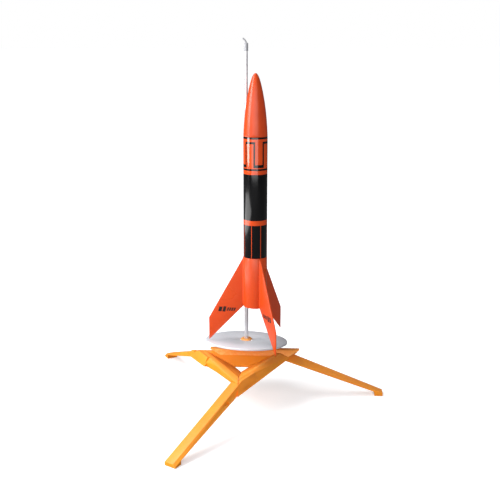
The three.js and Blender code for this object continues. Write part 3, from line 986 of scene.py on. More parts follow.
# ------------------------------------------------------------------ rocket
@dataclass
class Assembly:
    """A sub-assembly: it builds its pieces in the finishes that it is given."""

    finishes: Finishes


@dataclass
class NoseSection(Assembly):
    """The moulded nose cone and the plug in its shoulder."""

    wall: float = 1.3
    shoulder_radius: float = 11.4
    shoulder_length: float = 18.0
    clearance: float = 0.3
    shoulder_wall: float = 1.0
    rings: int = 44
    inner_rings: int = 16
    tip_thickness: float = 4.0
    plug_thickness: float = 2.2
    loop_radius: float = 2.8
    loop_wire: float = 0.9

    def radius(self, share: float, base: float) -> float:
        """Outside radius at a share of the way from the tip to the base."""
        return base * min(1.0, share ** 0.47 + 0.06 * math.sin(math.pi * share ** 1.3))

    def build(self) -> None:
        """Builds the cone and its plug."""
        low, high = span("nose_cone")
        full = (high.x - low.x) / 2
        base = low.z + self.shoulder_length + self.clearance
        axis = Matrix.Translation(axis_of("nose_cone"))
        length = high.z - base
        outside = []
        for i in range(self.rings + 1):
            share = (i / self.rings) ** 1.5
            outside.append((0.0 if i == 0 else self.radius(share, full), high.z - share * length))
        lip = [(full - 0.15, base), (self.shoulder_radius + 0.15, base), (self.shoulder_radius, base - 0.2)]
        bore = self.shoulder_radius - self.shoulder_wall
        foot = [(self.shoulder_radius, low.z + 1.2), (self.shoulder_radius - 0.5, low.z), (bore + 0.2, low.z),
                (bore, low.z + 0.3), (bore, base + 1.0)]
        inside = []
        roof = high.z - self.tip_thickness
        for i in range(self.inner_rings, -1, -1):
            share = (i / self.inner_rings) ** 1.5
            reach = max(0.0, self.radius(share, full) - self.wall) if i else 0.0
            inside.append((min(reach, bore + 0.6), roof - share * (roof - base - 2.0)))
        form = Form()
        form.turn(outside[:-1] + [(full, base + 0.25)] + lip + foot + inside, closed=False)
        form.move(axis)
        form.piece("nose_shell", [self.finishes.rocket], Body.NOSE, Slot.ROCKET, ["nose_cone"], 50)
        plug_low, plug_high = span("nose_insert")
        seat = low.z - self.clearance
        inner = self.shoulder_radius - self.shoulder_wall - self.clearance
        form = Form()
        form.turn([(0, seat - self.plug_thickness), (self.shoulder_radius, seat - self.plug_thickness),
                   (self.shoulder_radius, seat), (inner, seat), (inner, plug_high.z), (0, plug_high.z)],
                  72, closed=False)
        form.soften(0.25)
        middle = plug_low.z + self.loop_radius + self.loop_wire
        form.hoop(Vector((0, 0, middle)), self.loop_radius, self.loop_wire)
        form.move(axis)
        form.piece("nose_plug", [self.finishes.rocket], Body.NOSE, Slot.ROCKET, ["nose_insert"])


@dataclass
class BodyTube(Assembly):
    """The paper tube with its printed wrap, and the launch lug glued on its back."""

    wall: float = 0.6
    lug_wall: float = 0.36
    bead: float = 0.5
    bead_lean: float = 6.6
    bead_steps: int = 24

    def build(self) -> None:
        """Builds the tube, the lug and the two beads of glue."""
        low, high = span("body_tube")
        radius = (high.x - low.x) / 2
        form = Form()
        form.turn(ring_profile(radius - self.wall, radius)(low.z, high.z), 128)
        form.soften(0.12)
        for face in form.bm.faces:
            middle = face.calc_center_median()
            face.material_index = int(math.hypot(middle.x, middle.y) < radius - 0.1)
        form.move(Matrix.Translation(axis_of("body_tube")))
        form.piece("printed_tube", [self.finishes.wrap, self.finishes.kraft], Body.ROCKET, Slot.WRAP,
                   ["body_tube"])
        self.build_lug(radius)

    def build_lug(self, tube_radius: float) -> None:
        """Builds the lug and its glue.

        Args:
            tube_radius: the body tube's radius.
        """
        low, high = span("launch_lug")
        radius = (high.x - low.x) / 2
        place = axis_of("launch_lug")
        form = Form()
        form.turn(ring_profile(radius - self.lug_wall, radius)(low.z, high.z), 48)
        form.soften(0.08)
        form.move(Matrix.Translation(place))
        form.piece("lug_tube", [self.finishes.white], Body.ROCKET, Slot.PAPER, ["launch_lug"])
        axis = axis_of("body_tube")
        across = place - axis
        bearing = math.degrees(math.atan2(across.y, across.x))
        form = Form()
        for side in (-1, 1):
            path, sizes = [], []
            for i in range(self.bead_steps + 1):
                share = i / self.bead_steps
                height = low.z + 1.0 + (high.z - low.z - 2.0) * share
                lean = side * (self.bead_lean + 0.25 * math.sin(9 * share + side))
                path.append(axis + polar(tube_radius + 0.42, bearing + lean, height))
                sizes.append(self.bead * (0.35 + 0.65 * min(1.0, 8 * share, 8 * (1 - share)))
                             * (1 + 0.12 * math.sin(21 * share + 2 * side)))
            form.sweep(path, sizes, 10)
        form.piece("lug_glue", [self.finishes.white], Body.ROCKET, Slot.PAPER)


@dataclass
class FinCan(Assembly):
    """The moulded can with its three swept fins, root fillets and small printed bars."""

    radius: float = 12.5
    wall: float = 0.9
    can_bottom: float = 104.3
    can_top: float = 159.0
    spigot: float = 11.5
    spigot_wall: float = 0.6
    bearings: tuple[float, ...] = (174.9, -65.1, 54.9)
    marked: int = 2
    fin_root: float = 12.0
    tip_top: float = 89.3
    thick: float = 1.6
    tip_thick: float = 1.25
    fin_edge: float = 0.42
    fillet: float = 1.3
    fillet_stations: int = 18
    fillet_steps: int = 5
    bars: tuple[tuple[float, float, float], ...] = (
        (37.6, 3.6, 5.2), (33.2, 3.0, 5.8), (29.4, 1.6, 3.6), (27.0, 1.6, 3.6), (24.6, 1.6, 3.6),
        (22.2, 1.6, 3.6))
    bar_lean: float = 1.4
    bar_height: float = 99.4
    bar_thick: float = 0.09

    def build(self) -> None:
        """Builds the can with its fins, then the bars on them."""
        low, high = span("fin_can")
        axis = axis_of("body_tube")
        bore = self.radius - self.wall
        inner = self.spigot - self.spigot_wall
        form = Form()
        form.turn([(bore, self.can_bottom), (self.radius, self.can_bottom), (self.radius, self.can_top),
                   (self.spigot, self.can_top), (self.spigot, high.z), (inner, high.z),
                   (inner, self.can_top - 2), (bore, self.can_top - 4)], 120)
        form.soften(0.22)
        self.tip = (axis.x - low.x) / math.cos(math.radians(180 - self.bearings[0]))
        self.tip_bottom = low.z
        for bearing in self.bearings:
            self.add_fin(form, bearing)
        form.move(Matrix.Translation(axis))
        form.piece("fin_moulding", [self.finishes.rocket], Body.ROCKET, Slot.ROCKET, ["fin_can"])
        self.build_marks(axis)

    def add_fin(self, form: Form, bearing: float) -> None:
        """Adds one fin and its two fillets.

        Args:
            form: the can's mesh.
            bearing: the fin's direction, in degrees.
        """
        turn = Matrix.Rotation(math.radians(bearing), 4, "Z")
        fin = Form()
        outline = [Vector((self.fin_root, 0, self.can_bottom + 0.1)),
                   Vector((self.tip, 0, self.tip_bottom)), Vector((self.tip, 0, self.tip_top)),
                   Vector((self.fin_root, 0, self.can_top - 0.1))]
        verts = fin.slab(outline, Vector((0, self.thick, 0)))
        outer = [vert for vert in verts if vert.co.x > self.tip - 1]
        bmesh.ops.scale(fin.bm, vec=(1, self.tip_thick / self.thick, 1), verts=outer)
        fin.soften(self.fin_edge, 3)
        for side in (-1, 1):
            self.add_fillet(fin, side)
        fin.move(turn)
        joined = bpy.data.meshes.new("fin")
        fin.bm.to_mesh(joined)
        fin.bm.free()
        form.bm.from_mesh(joined)
        bpy.data.meshes.remove(joined)

    def add_fillet(self, fin: Form, side: int) -> None:
        """Adds the rounded strip where a fin meets the can.

        Args:
            fin: the fin's mesh, lying along +X.
            side: which face of the fin.
        """
        top = self.can_top - 0.4
        bottom = self.can_bottom + 0.35
        ring: list[list[Vector]] = []
        for i in range(self.fillet_stations + 1):
            height = bottom + (top - bottom) * (i / self.fillet_stations)
            fade = min(1.0, (top - height) * 0.42 + 0.12, (height - bottom) * 0.9 + 0.25)
            size = self.fillet * max(0.12, fade)
            corner = Vector((self.radius - 0.25, side * (self.thick / 2 - 0.3), height))
            arc = [corner]
            for step in range(self.fillet_steps + 1):
                angle = math.pi / 2 * step / self.fillet_steps
                reach = self.radius - 0.05 + size * (1 - math.sin(angle))
                out = side * (self.thick / 2 - 0.02 + size * (1 - math.cos(angle)))
                arc.append(Vector((math.sqrt(max(reach * reach - out * out, 1.0)), out, height)))
            ring.append(arc)
        bm, before = fin.bm, set(fin.bm.verts)
        first = [bm.verts.new(point) for point in ring[0]]
        face = bm.faces.new(first)
        edges = list(face.edges)
        last = first
        for arc in ring[1:]:
            grown = bmesh.ops.extrude_edge_only(bm, edges=edges)["geom"]
            edges = edges_of(grown)
            new = set(verts_of(grown))
            ordered = [next(edge.other_vert(vert) for edge in vert.link_edges
                            if edge.other_vert(vert) in new) for vert in last]
            for vert, point in zip(ordered, arc):
                vert.co = point
            last = ordered
        bmesh.ops.edgeloop_fill(bm, edges=edges)
        fin.finished(before)

    def build_marks(self, axis: Vector) -> None:
        """Builds the slanted bars on both faces of the first fins.

        Args:
            axis: the rocket's axis.
        """
        form = Form()
        for bearing in self.bearings[:self.marked]:
            place = Matrix.Translation(axis) @ Matrix.Rotation(math.radians(bearing), 4, "Z")
            for side in (-1, 1):
                for reach, wide, tall in self.bars:
                    outline = self.bar_outline(side, reach, wide, tall)
                    form.move(place, form.slab(outline, Vector((0, self.bar_thick, 0))))
        form.piece("fin_bars", [self.finishes.ink], Body.ROCKET, Slot.WRAP)

    def bar_outline(self, side: int, reach: float, wide: float, tall: float) -> list[Vector]:
        """Corners of one slanted bar, just off a face of a fin that lies along +X.

        Args:
            side: which face of the fin.
            reach: the bar's distance from the rocket's axis.
            wide: its width.
            tall: its height.

        Returns:
            The four corners, from the lower inner one.
        """
        share = (reach - self.fin_root) / (self.tip - self.fin_root)
        off = side * ((self.thick + (self.tip_thick - self.thick) * share) / 2 + 0.03)
        lean, middle = self.bar_lean, self.bar_height
        return [Vector((reach - wide / 2 + lean / 2, off, middle - tall / 2)),
                Vector((reach + wide / 2 + lean / 2, off, middle - tall / 2)),
                Vector((reach + wide / 2 - lean / 2, off, middle + tall / 2)),
                Vector((reach - wide / 2 - lean / 2, off, middle + tall / 2))]


@dataclass
class Turned:
    """A turned piece that stands for one CAD node: a profile in the node's own heights."""

    node: str
    name: str
    body: Body
    slot: Slot
    profile: Callable[[float, float], Profile]
    edge: float = 0.2
    steps: int = 72
    solid: bool = False

    def build(self, finish: bpy.types.Material) -> None:
        """Builds the piece.

        Args:
            finish: its material.
        """
        low, high = span(self.node)
        form = Form()
        form.turn(self.profile(low.z, high.z), self.steps, closed=not self.solid)
        form.soften(self.edge)
        form.move(Matrix.Translation(axis_of(self.node)))
        form.piece(self.name, [finish], self.body, self.slot, [self.node])


@dataclass
class MotorMount(Assembly):
    """The inner tube, its rings, and the motor that slides into it."""

    rings: tuple[tuple[str, str, float, float], ...] = (
        ("motor_tube", "inner_tube", 9.3, 9.75), ("thrust_ring", "stop_ring", 6.8, 9.0),
        ("rear_centring_ring", "rear_ring", 10.05, 11.3), ("front_centring_ring", "front_ring", 10.05, 11.5))
    bore: float = 6.8
    radius: float = 9.0
    filling: float = 6.5
    throat: float = 1.6
    mouth: float = 3.4

    def build(self) -> None:
        """Builds the mount's rings and the motor's parts."""
        kraft, clay = self.finishes.kraft, self.finishes.clay
        bore, radius, filling, throat = self.bore, self.radius, self.filling, self.throat
        for node, name, inner, outer in self.rings:
            Turned(node, name, Body.ROCKET, Slot.KRAFT, ring_profile(inner, outer), 0.1).build(kraft)
        Turned("motor_casing", "casing", Body.MOTOR, Slot.KRAFT,
               lambda low, high: [(bore, low + 0.4), (bore + 0.5, low), (radius, low), (radius, high),
                                  (bore, high)], 0.15).build(kraft)
        Turned("motor_nozzle", "clay_nozzle", Body.MOTOR, Slot.CLAY,
               lambda low, high: [(self.mouth, low), (filling, low), (filling, high), (throat, high),
                                  (throat, low + 3.9)], 0.2).build(clay)
        Turned("motor_grain", "powder_grain", Body.MOTOR, Slot.POWDER,
               lambda low, high: [(0, low + 5.7), (throat, low + 4.7), (throat, low), (filling, low),
                                  (filling, high), (0, high)], 0.2, solid=True).build(self.finishes.powder)
        Turned("motor_cap", "clay_cap", Body.MOTOR, Slot.CLAY,
               lambda low, high: [(0, low), (filling, low), (filling, high - 0.6), (5.2, high),
                                  (0, high - 0.5)], 0.2, solid=True).build(clay)


@dataclass
class RecoveryGear(Assembly):
    """What the tube holds under the nose: tissue, rolled parachute, cord and its paper tab."""

    pleats: int = 11
    chute_core: float = 0.9
    film_pitch: float = 0.2
    canopy_width: float = 0.254
    canopy_area: float = 0.0534
    cord_radius: float = 0.6
    cord_reach: float = 10.0
    fold_bottom: float = 206.0
    fold_top: float = 246.0
    runs: int = 5
    run_step: float = 25.0
    stretch: tuple[float, float] = (236.0, 257.0)
    thread_radius: float = 0.42
    thread_rounds: int = 6
    tab_bearing: float = 80.0
    tab_radius: float = 10.84
    tab_layer: float = 0.22

    def build(self) -> None:
        """Builds all four pieces and the shroud lines."""
        self.axis = axis_of("body_tube")
        self.build_wadding()
        self.build_chute()
        self.build_tab()
        self.build_cord()

    def build_wadding(self) -> None:
        """Builds the tissue: a strip pleated to and fro and crumpled."""
        low, high = span("wadding")
        tall, pleats = high.z - low.z - 1.0, self.pleats
        reach = (high.x - low.x) / 2 - 0.9
        corners = []
        for i in range(pleats + 1):
            across = -reach * 0.93 + 1.86 * reach * i / pleats
            half = math.sqrt(max(reach * reach - across * across, 1.0))
            corners.append(Vector((across, half if i % 2 else -half, 0)))
        path = smooth_path(corners, 14)
        form = Form()
        rows = 16
        bmesh.ops.create_grid(form.bm, x_segments=len(path) - 1, y_segments=rows, size=0.5)
        for vert in form.bm.verts:
            column = round((vert.co.x + 0.5) * (len(path) - 1))
            share = vert.co.y + 0.5
            point = path[column]
            seed = Vector((point.x * 0.35, point.y * 0.35, share * 6))
            crumple = noise.noise_vector(seed) * 0.75
            lift = 0.8 * noise.noise(Vector((column * 0.13, 4.2, 1.0)))
            vert.co = Vector((point.x, point.y, low.z + 0.9 + share * (tall - 0.8) + lift)) + crumple
            flat = math.hypot(vert.co.x, vert.co.y)
            if flat > reach:
                vert.co.x *= reach / flat
                vert.co.y *= reach / flat
        form.move(Matrix.Translation(self.axis))
        tissue = form.piece("tissue_strip", [self.finishes.tissue], Body.ROCKET, Slot.TISSUE, ["wadding"], 60)

    def build_chute(self) -> None:
        """Builds the canopy, rolled up, and the lines wound round it."""
        low, high = span("parachute")
        radius = (high.x - low.x) / 2 - 0.75
        centre = axis_of("parachute")
        turns = (radius - self.chute_core) / self.film_pitch
        columns, rows = int(turns * 26), 9
        form = Form()
        bmesh.ops.create_grid(form.bm, x_segments=columns, y_segments=rows, size=0.5)
        layer = form.bm.loops.layers.uv.new("canopy")
        length = math.pi * (radius ** 2 - self.chute_core ** 2) / self.film_pitch
        tall = high.z - low.z - 1.6
        for face in form.bm.faces:
            for loop in face.loops:
                share = loop.vert.co.x + 0.5
                loop[layer].uv = (share * length, (loop.vert.co.y + 0.5) * tall)
        for vert in form.bm.verts:
            share, up = vert.co.x + 0.5, vert.co.y + 0.5
            reach = math.sqrt(self.chute_core ** 2 + share * (radius ** 2 - self.chute_core ** 2))
            angle = TURN * (reach - self.chute_core) / self.film_pitch
            lobe = noise.noise(Vector((math.cos(angle) * 1.3, math.sin(angle) * 1.3, up * 1.6)))
            crease = noise.noise(Vector((math.cos(angle) * 5, math.sin(angle) * 5, up * 3)))
            reach *= 0.93 + 0.09 * lobe + 0.035 * crease - 0.05 * (2 * up - 1) ** 2
            edge = 1.3 * noise.noise(Vector((math.cos(angle) * 2.5, math.sin(angle) * 2.5, reach * 0.35)))
            vert.co = Vector((reach * math.cos(angle), reach * math.sin(angle),
                              low.z + 0.8 + up * tall + edge * (2 * up - 1) * 0.5))
        form.move(Matrix.Translation(centre))
        canopy = form.piece("rolled_canopy", [self.finishes.film], Body.ROCKET, Slot.FILM, ["parachute"], 70)
        self.build_lines(centre, low.z, high.z, radius)

    def build_lines(self, centre: Vector, low: float, high: float, radius: float) -> None:
        """Builds the shroud lines, gathered into one bundle round the roll.

        Args:
            centre: the roll's axis.
            low: its lowest point.
            high: its highest point.
            radius: its radius.
        """
        thick, rounds, reach = self.thread_radius, self.thread_rounds, radius + 0.5
        points = []
        for i in range(rounds * 12 + 1):
            share = i / (rounds * 12)
            wander = 0.5 * math.sin(share * 17)
            height = low + 13 + (high - low - 19) * share + wander
            points.append(centre + polar(reach, 20 + 360 * rounds * share, height))
        end = centre + polar(reach, 20, high - 4)
        points.append(end + Vector((-1.2, 0.4, 3.0)))
        points.append(centre + polar(4.2, 20, high + 0.6))
        points.append(centre + polar(1.2, 60, high + 1.2))
        path = smooth_path(points, 3)
        form = Form()
        form.sweep(path, thick, 7)
        lines = form.piece("shroud_lines", [self.finishes.thread], Body.ROCKET, Slot.ELASTIC, (), 60)

    def build_tab(self) -> None:
        """Builds the folded paper tab that holds the cord to the wall."""
        low, high = span("cord_mount")
        form = Form()
        for layer in range(3):
            inner = self.tab_radius + self.tab_layer * layer
            half = 20.5 - 1.2 * layer
            grid = bmesh.ops.create_grid(form.bm, x_segments=14, y_segments=6, size=0.5)["verts"]
            faces = list({face for vert in grid for face in vert.link_faces})
            for vert in grid:
                angle = self.tab_bearing + 2 * half * vert.co.x
                height = (low.z + high.z) / 2 + (high.z - low.z - 0.8 * (2 - layer)) * vert.co.y
                vert.co = polar(inner, angle, height)
            bmesh.ops.recalc_face_normals(form.bm, faces=faces)
            bmesh.ops.solidify(form.bm, geom=faces, thickness=0.16)
        form.move(Matrix.Translation(self.axis))
        form.piece("cord_tab", [self.finishes.white], Body.ROCKET, Slot.PAPER, ["cord_mount"])

    def cord_points(self) -> list[Vector]:
        """Route of the elastic cord, about the rocket's axis.

        Returns:
            Its points: out of the tab, to and fro along the wall, and in to the nose's loop.
        """
        def at(bearing: float, height: float, radius: float = self.cord_reach) -> Vector:
            """A point at the wall."""
            return polar(radius, bearing, height)
        bearing = self.tab_bearing - 6
        points = [at(bearing, 227.4)]
        for run in range(self.runs):
            down = run % 2 == 0
            end = self.fold_bottom if down else self.fold_top
            bend = -2.2 if down else 2.2
            points += [at(bearing, end - 4 * bend), at(bearing, end),
                       at(bearing - self.run_step / 2, end + bend)]
            bearing -= self.run_step
            points += [at(bearing, end), at(bearing, end - 4 * bend)]
        top = span("parachute")[1].z
        points += [at(bearing, top - 4), at(bearing, top + 1.5, 9.2), at(bearing, top + 3.6, 6),
                   at(bearing, top + 5, 2.2)]
        return points

    def build_cord(self) -> None:
        """Builds the cord and the knot on the nose's loop."""
        path = [point + self.axis for point in smooth_path(self.cord_points(), 6)]
        form = Form()
        form.sweep(path, self.cord_radius, 8)
        cord = form.loose("elastic_cord", [self.finishes.elastic], ["shock_cord"], 60)
        loop = span("nose_insert")[0].z
        form = Form()
        wire = Vector((0, 0, loop + 0.9))
        for tilt, size in ((0.0, 1.45), (0.5, 1.5), (-0.45, 1.48)):
            made = form.hoop(Vector(), size, 0.5, "Y")
            form.move(Matrix.Translation(wire) @ Matrix.Rotation(math.pi / 2 + tilt, 4, "Z"), made)
        tail = smooth_path([wire + Vector((0.2, 0.3, -1.5)), wire + Vector((0.5, 0.9, -2.0)),
                            wire + Vector((1.3, -0.9, -2.3)), wire + Vector((1.8, -1.6, -2.2))], 5)
        form.sweep(tail, 0.55, 8)
        form.move(Matrix.Translation(self.axis))
        form.piece("cord_knot", [self.finishes.elastic], Body.NOSE, Slot.ELASTIC, (), 60)
        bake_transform(cord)


# ------------------------------------------------------------------ launch rod and plate
@dataclass
class LaunchRod(Assembly):
    """The rod, the sleeve at its foot, the safety cap and the holder below the plate."""

    radius: float = 1.6
    sleeve_bore: float = 1.78
    sleeve_radius: float = 2.2
    cap_height: float = 2.0

    def build(self) -> None:
        """Builds the rod's pieces."""
        Turned("launch_rod", "steel_rod", Body.ROD, Slot.ROD,
               lambda low, high: [(0, low), (self.radius, low), (self.radius, high - 0.5),
                                  (self.radius - 0.5, high), (0, high)], 0.15, 36,
               solid=True).build(self.finishes.rod)
        Turned("rod_sleeve", "steel_sleeve", Body.ROD, Slot.ROD,
               ring_profile(self.sleeve_bore, self.sleeve_radius), 0.1, 40).build(self.finishes.rod)
        self.build_cap()
        form = Form.copy_of("rod_holder")
        form.soften(0.15, 2, 40)
        form.piece("holder_moulding", [self.finishes.holder], Body.ROD, Slot.PAD, ["rod_holder"])

    def build_cap(self) -> None:
        """Builds the cap on the rod's top and its bent tail."""
        foot = span("safety_cap")[0].z
        rod_top = span("launch_rod")[1].z
        bore, radius, top = self.sleeve_bore, self.sleeve_radius, rod_top + self.cap_height
        form = Form()
        form.turn([(bore, foot), (radius, foot), (radius, foot + 1.0), (radius - 0.12, foot + 1.2),
                   (radius - 0.12, top - 1.0), (radius - 0.9, top - 0.1), (0, top), (0, rod_top + 0.3),
                   (bore, rod_top + 0.3)], 36, closed=True)
        form.soften(0.1, 2, 40)
        tail = smooth_path([Vector((0, 0, top - 1)), Vector((-0.5, 0, top + 1)), Vector((-1.8, 0, top + 2.8)),
                            Vector((-3.4, 0, top + 4.2))], 6)
        form.sweep(tail, [0.95 - 0.2 * i / len(tail) for i in range(len(tail))], 12)
        form.move(Matrix.Translation(axis_of("launch_rod")))
        form.piece("rod_cap", [self.finishes.clear], Body.CAP, Slot.CLEAR, ["safety_cap"])


@dataclass
class BlastPlate(Assembly):
    """The thin slanted disc that turns the jet aside."""

    radius: float = 45.0
    bore: float = 6.8
    thickness: float = 0.9
    rim: float = 1.3
    front_up: float = 8.2
    left_up: float = 2.2
    underside: float = 60.0

    def build(self) -> None:
        """Builds the disc with its rolled rim."""
        outer, bore, thick = self.radius, self.bore, self.thickness
        form = Form()
        form.turn([(bore, 0), (outer - 1.6, 0), (outer - 0.7, -self.rim), (outer, -self.rim), (outer, 0.1),
                   (outer - 0.25, 0.5), (outer - 1, thick), (bore + 0.6, thick), (bore, thick - 0.3)], 144)
        form.soften(0.2, 2, 35)
        slant = (Matrix.Rotation(math.radians(self.left_up), 4, "Y")
                 @ Matrix.Rotation(math.radians(-self.front_up), 4, "X"))
        seat = axis_of("launch_rod") + Vector((0, 0, self.underside))
        form.move(Matrix.Translation(seat) @ slant)
        form.piece("jet_plate", [self.finishes.plate], Body.PLATE, Slot.PLATE, ["blast_plate"])


# ------------------------------------------------------------------ pad
@dataclass
class Pad(Assembly):
    """Three leg mouldings in a pinwheel, with ribs under them, and the tilt bridge on top."""

    legs: tuple[str, ...] = ("leg_rear", "leg_front", "leg_left")
    foot_reach: float = 154.67
    shoulder: float = 45.0
    slope: float = 0.3487
    foot_height: float = 1.6
    taper: float = 4.5
    rib: float = 1.0
    rib_span: tuple[float, float] = (52.0, 142.0)
    rib_pitch: float = 15.0
    past_centre: tuple[float, float] = (3.88, 24.47)
    bolt_face: float = 7.3
    nut_length: float = 5.2
    slot_depth: float = 0.7

    def build(self) -> None:
        """Builds the legs and the bridge."""
        for number, node in enumerate(self.legs):
            form = Form.copy_of(node)
            form.soften(0.7, 3, 25)
            form.piece(f"{node}_moulding", [self.finishes.pad], Body.PAD, Slot.PAD, [node])
            self.build_ribs(number, node)
        form = Form.copy_of("tilt_bridge")
        form.soften(0.45, 2, 30)
        form.piece("bridge_moulding", [self.finishes.pad], Body.PAD, Slot.PAD, ["tilt_bridge"])
        self.build_bolt()

    def underside(self, reach: float) -> float:
        """Height of a leg's lower edge at a distance along it."""
        return self.foot_height + self.slope * (self.foot_reach - max(reach, self.shoulder))

    def build_ribs(self, number: int, node: str) -> None:
        """Builds the stiffening ribs in a leg's hollow.

        Args:
            number: which leg.
            node: its CAD node.
        """
        form = Form()
        reach, last = self.rib_span
        while reach < last:
            low = self.underside(reach) + 0.5
            rise = 2.2 + 4.8 * min(1.0, (self.foot_reach - reach) / 70)
            roof = self.underside(reach) + rise - 1.5
            drawn = self.taper * (reach - self.shoulder) / (self.foot_reach - self.shoulder)
            crest = 28.5 - 0.8 * drawn
            outline = [Vector((reach, 18.4, low)), Vector((reach, 32.6 - drawn, low)),
                       Vector((reach, crest + 2, roof)), Vector((reach, crest, roof)),
                       Vector((reach, 18.4, low + 0.6))]
            form.slab(outline, Vector((self.rib, 0, 0)))
            reach += self.rib_pitch
        turn = math.radians(self.bearing() - 120 * number)
        form.move(Matrix.Translation(self.centre()) @ Matrix.Rotation(turn, 4, "Z"))
        form.piece(f"{node}_ribs", [self.finishes.pad], Body.PAD, Slot.PAD)

    def tilt_joint(self) -> dict:
        """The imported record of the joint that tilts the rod."""
        return next(joint for joint in frame["joints"] if joint["name"] == "rod_tilt")

    def bearing(self) -> float:
        """Bearing of the first leg, in degrees, from the tilt joint's axis."""
        axis = self.tilt_joint()["axis"]
        return math.degrees(math.atan2(axis[1], axis[0]))

    def centre(self) -> Vector:
        """The pad's centre at ground level, round which the three legs are spaced.

        Returns:
            The point, in millimetres.
        """
        turn = Matrix.Rotation(math.radians(self.bearing()), 3, "Z")
        return axis_of("launch_rod") - turn @ Vector((*self.past_centre, 0))

    def build_bolt(self) -> None:
        """Builds the pivot bolt and its knurled nut."""
        origin = Vector(self.tilt_joint()["pos_m"]) / MM
        turn = Matrix.Rotation(math.radians(self.bearing()), 4, "Z") @ Matrix.Rotation(math.pi / 2, 4, "Y")
        place = Matrix.Translation(origin) @ turn
        face, nut = self.bolt_face, self.nut_length
        form = Form()
        form.turn([(0, -face - 2), (2.2, -face - 2), (3, -face - 1.4), (3, -face), (1.5, -face),
                   (1.5, face + nut + 2.0), (1.1, face + nut + 2.4), (0, face + nut + 2.4)], 40, closed=False)
        form.soften(0.12, 2, 35)
        self.cut_slot(form, -face - 2)
        form.move(place)
        form.piece("bolt", [self.finishes.bolt], Body.PAD, Slot.ROD, ["pivot_bolt"])
        form = Form()
        self.knurl(form, face, nut)
        form.move(place)
        form.piece("knurled_nut", [self.finishes.bolt], Body.NUT, Slot.ROD, ["thumb_nut"], 25)

    def cut_slot(self, form: Form, level: float) -> None:
        """Sinks a driver slot into the bolt's head.

        Args:
            form: the bolt's mesh.
            level: where the head's face lies along the bolt.
        """
        for offset in (-0.35, 0.35):
            near = [face for face in form.bm.faces if face.calc_center_median().z < level + 0.3]
            geom = list({item for face in near for item in (*face.verts, *face.edges)}) + near
            bmesh.ops.bisect_plane(form.bm, geom=geom, plane_co=(0, offset, 0), plane_no=(0, 1, 0), dist=1e-4)
        slot = [face for face in form.bm.faces if abs(face.normal.z) > 0.9
                and face.calc_center_median().z < level + 0.05 and abs(face.calc_center_median().y) < 0.34]
        if slot:
            grown = bmesh.ops.extrude_face_region(form.bm, geom=slot)["geom"]
            bmesh.ops.delete(form.bm, geom=[face for face in slot if face.is_valid], context="FACES_ONLY")
            bmesh.ops.translate(form.bm, vec=(0, 0, self.slot_depth), verts=verts_of(grown))
            bmesh.ops.recalc_face_normals(form.bm, faces=form.bm.faces)

    def knurl(self, form: Form, start: float, length: float) -> None:
        """Builds a nut with a scalloped rim and chamfered faces.

        Args:
            form: an empty mesh.
            start: where its inner face lies along the bolt.
            length: of the nut.
        """
        bm, before = form.bm, set(form.bm.verts)
        rings = []
        facets, lobes = 96, 16
        for radius, height, knurled in ((1.8, start, 0), (3.3, start, 0), (3.9, start + 0.5, 1),
                                        (3.9, start + length - 0.5, 1), (3.3, start + length, 0),
                                        (1.8, start + length, 0)):
            ring = bmesh.ops.create_circle(bm, cap_ends=False, segments=facets, radius=radius,
                                           matrix=Matrix.Translation((0, 0, height)))["verts"]
            for vert in ring:
                angle = math.atan2(vert.co.y, vert.co.x)
                dip = knurled * 0.42 * max(0.0, math.cos(lobes * angle)) ** 1.5
                vert.co.xy *= (radius - dip) / radius
            rings.append(list({edge for vert in ring for edge in vert.link_edges}))
        for first, second in zip(rings, rings[1:] + rings[:1]):
            bmesh.ops.bridge_loops(bm, edges=first + second)
        form.finished(before)


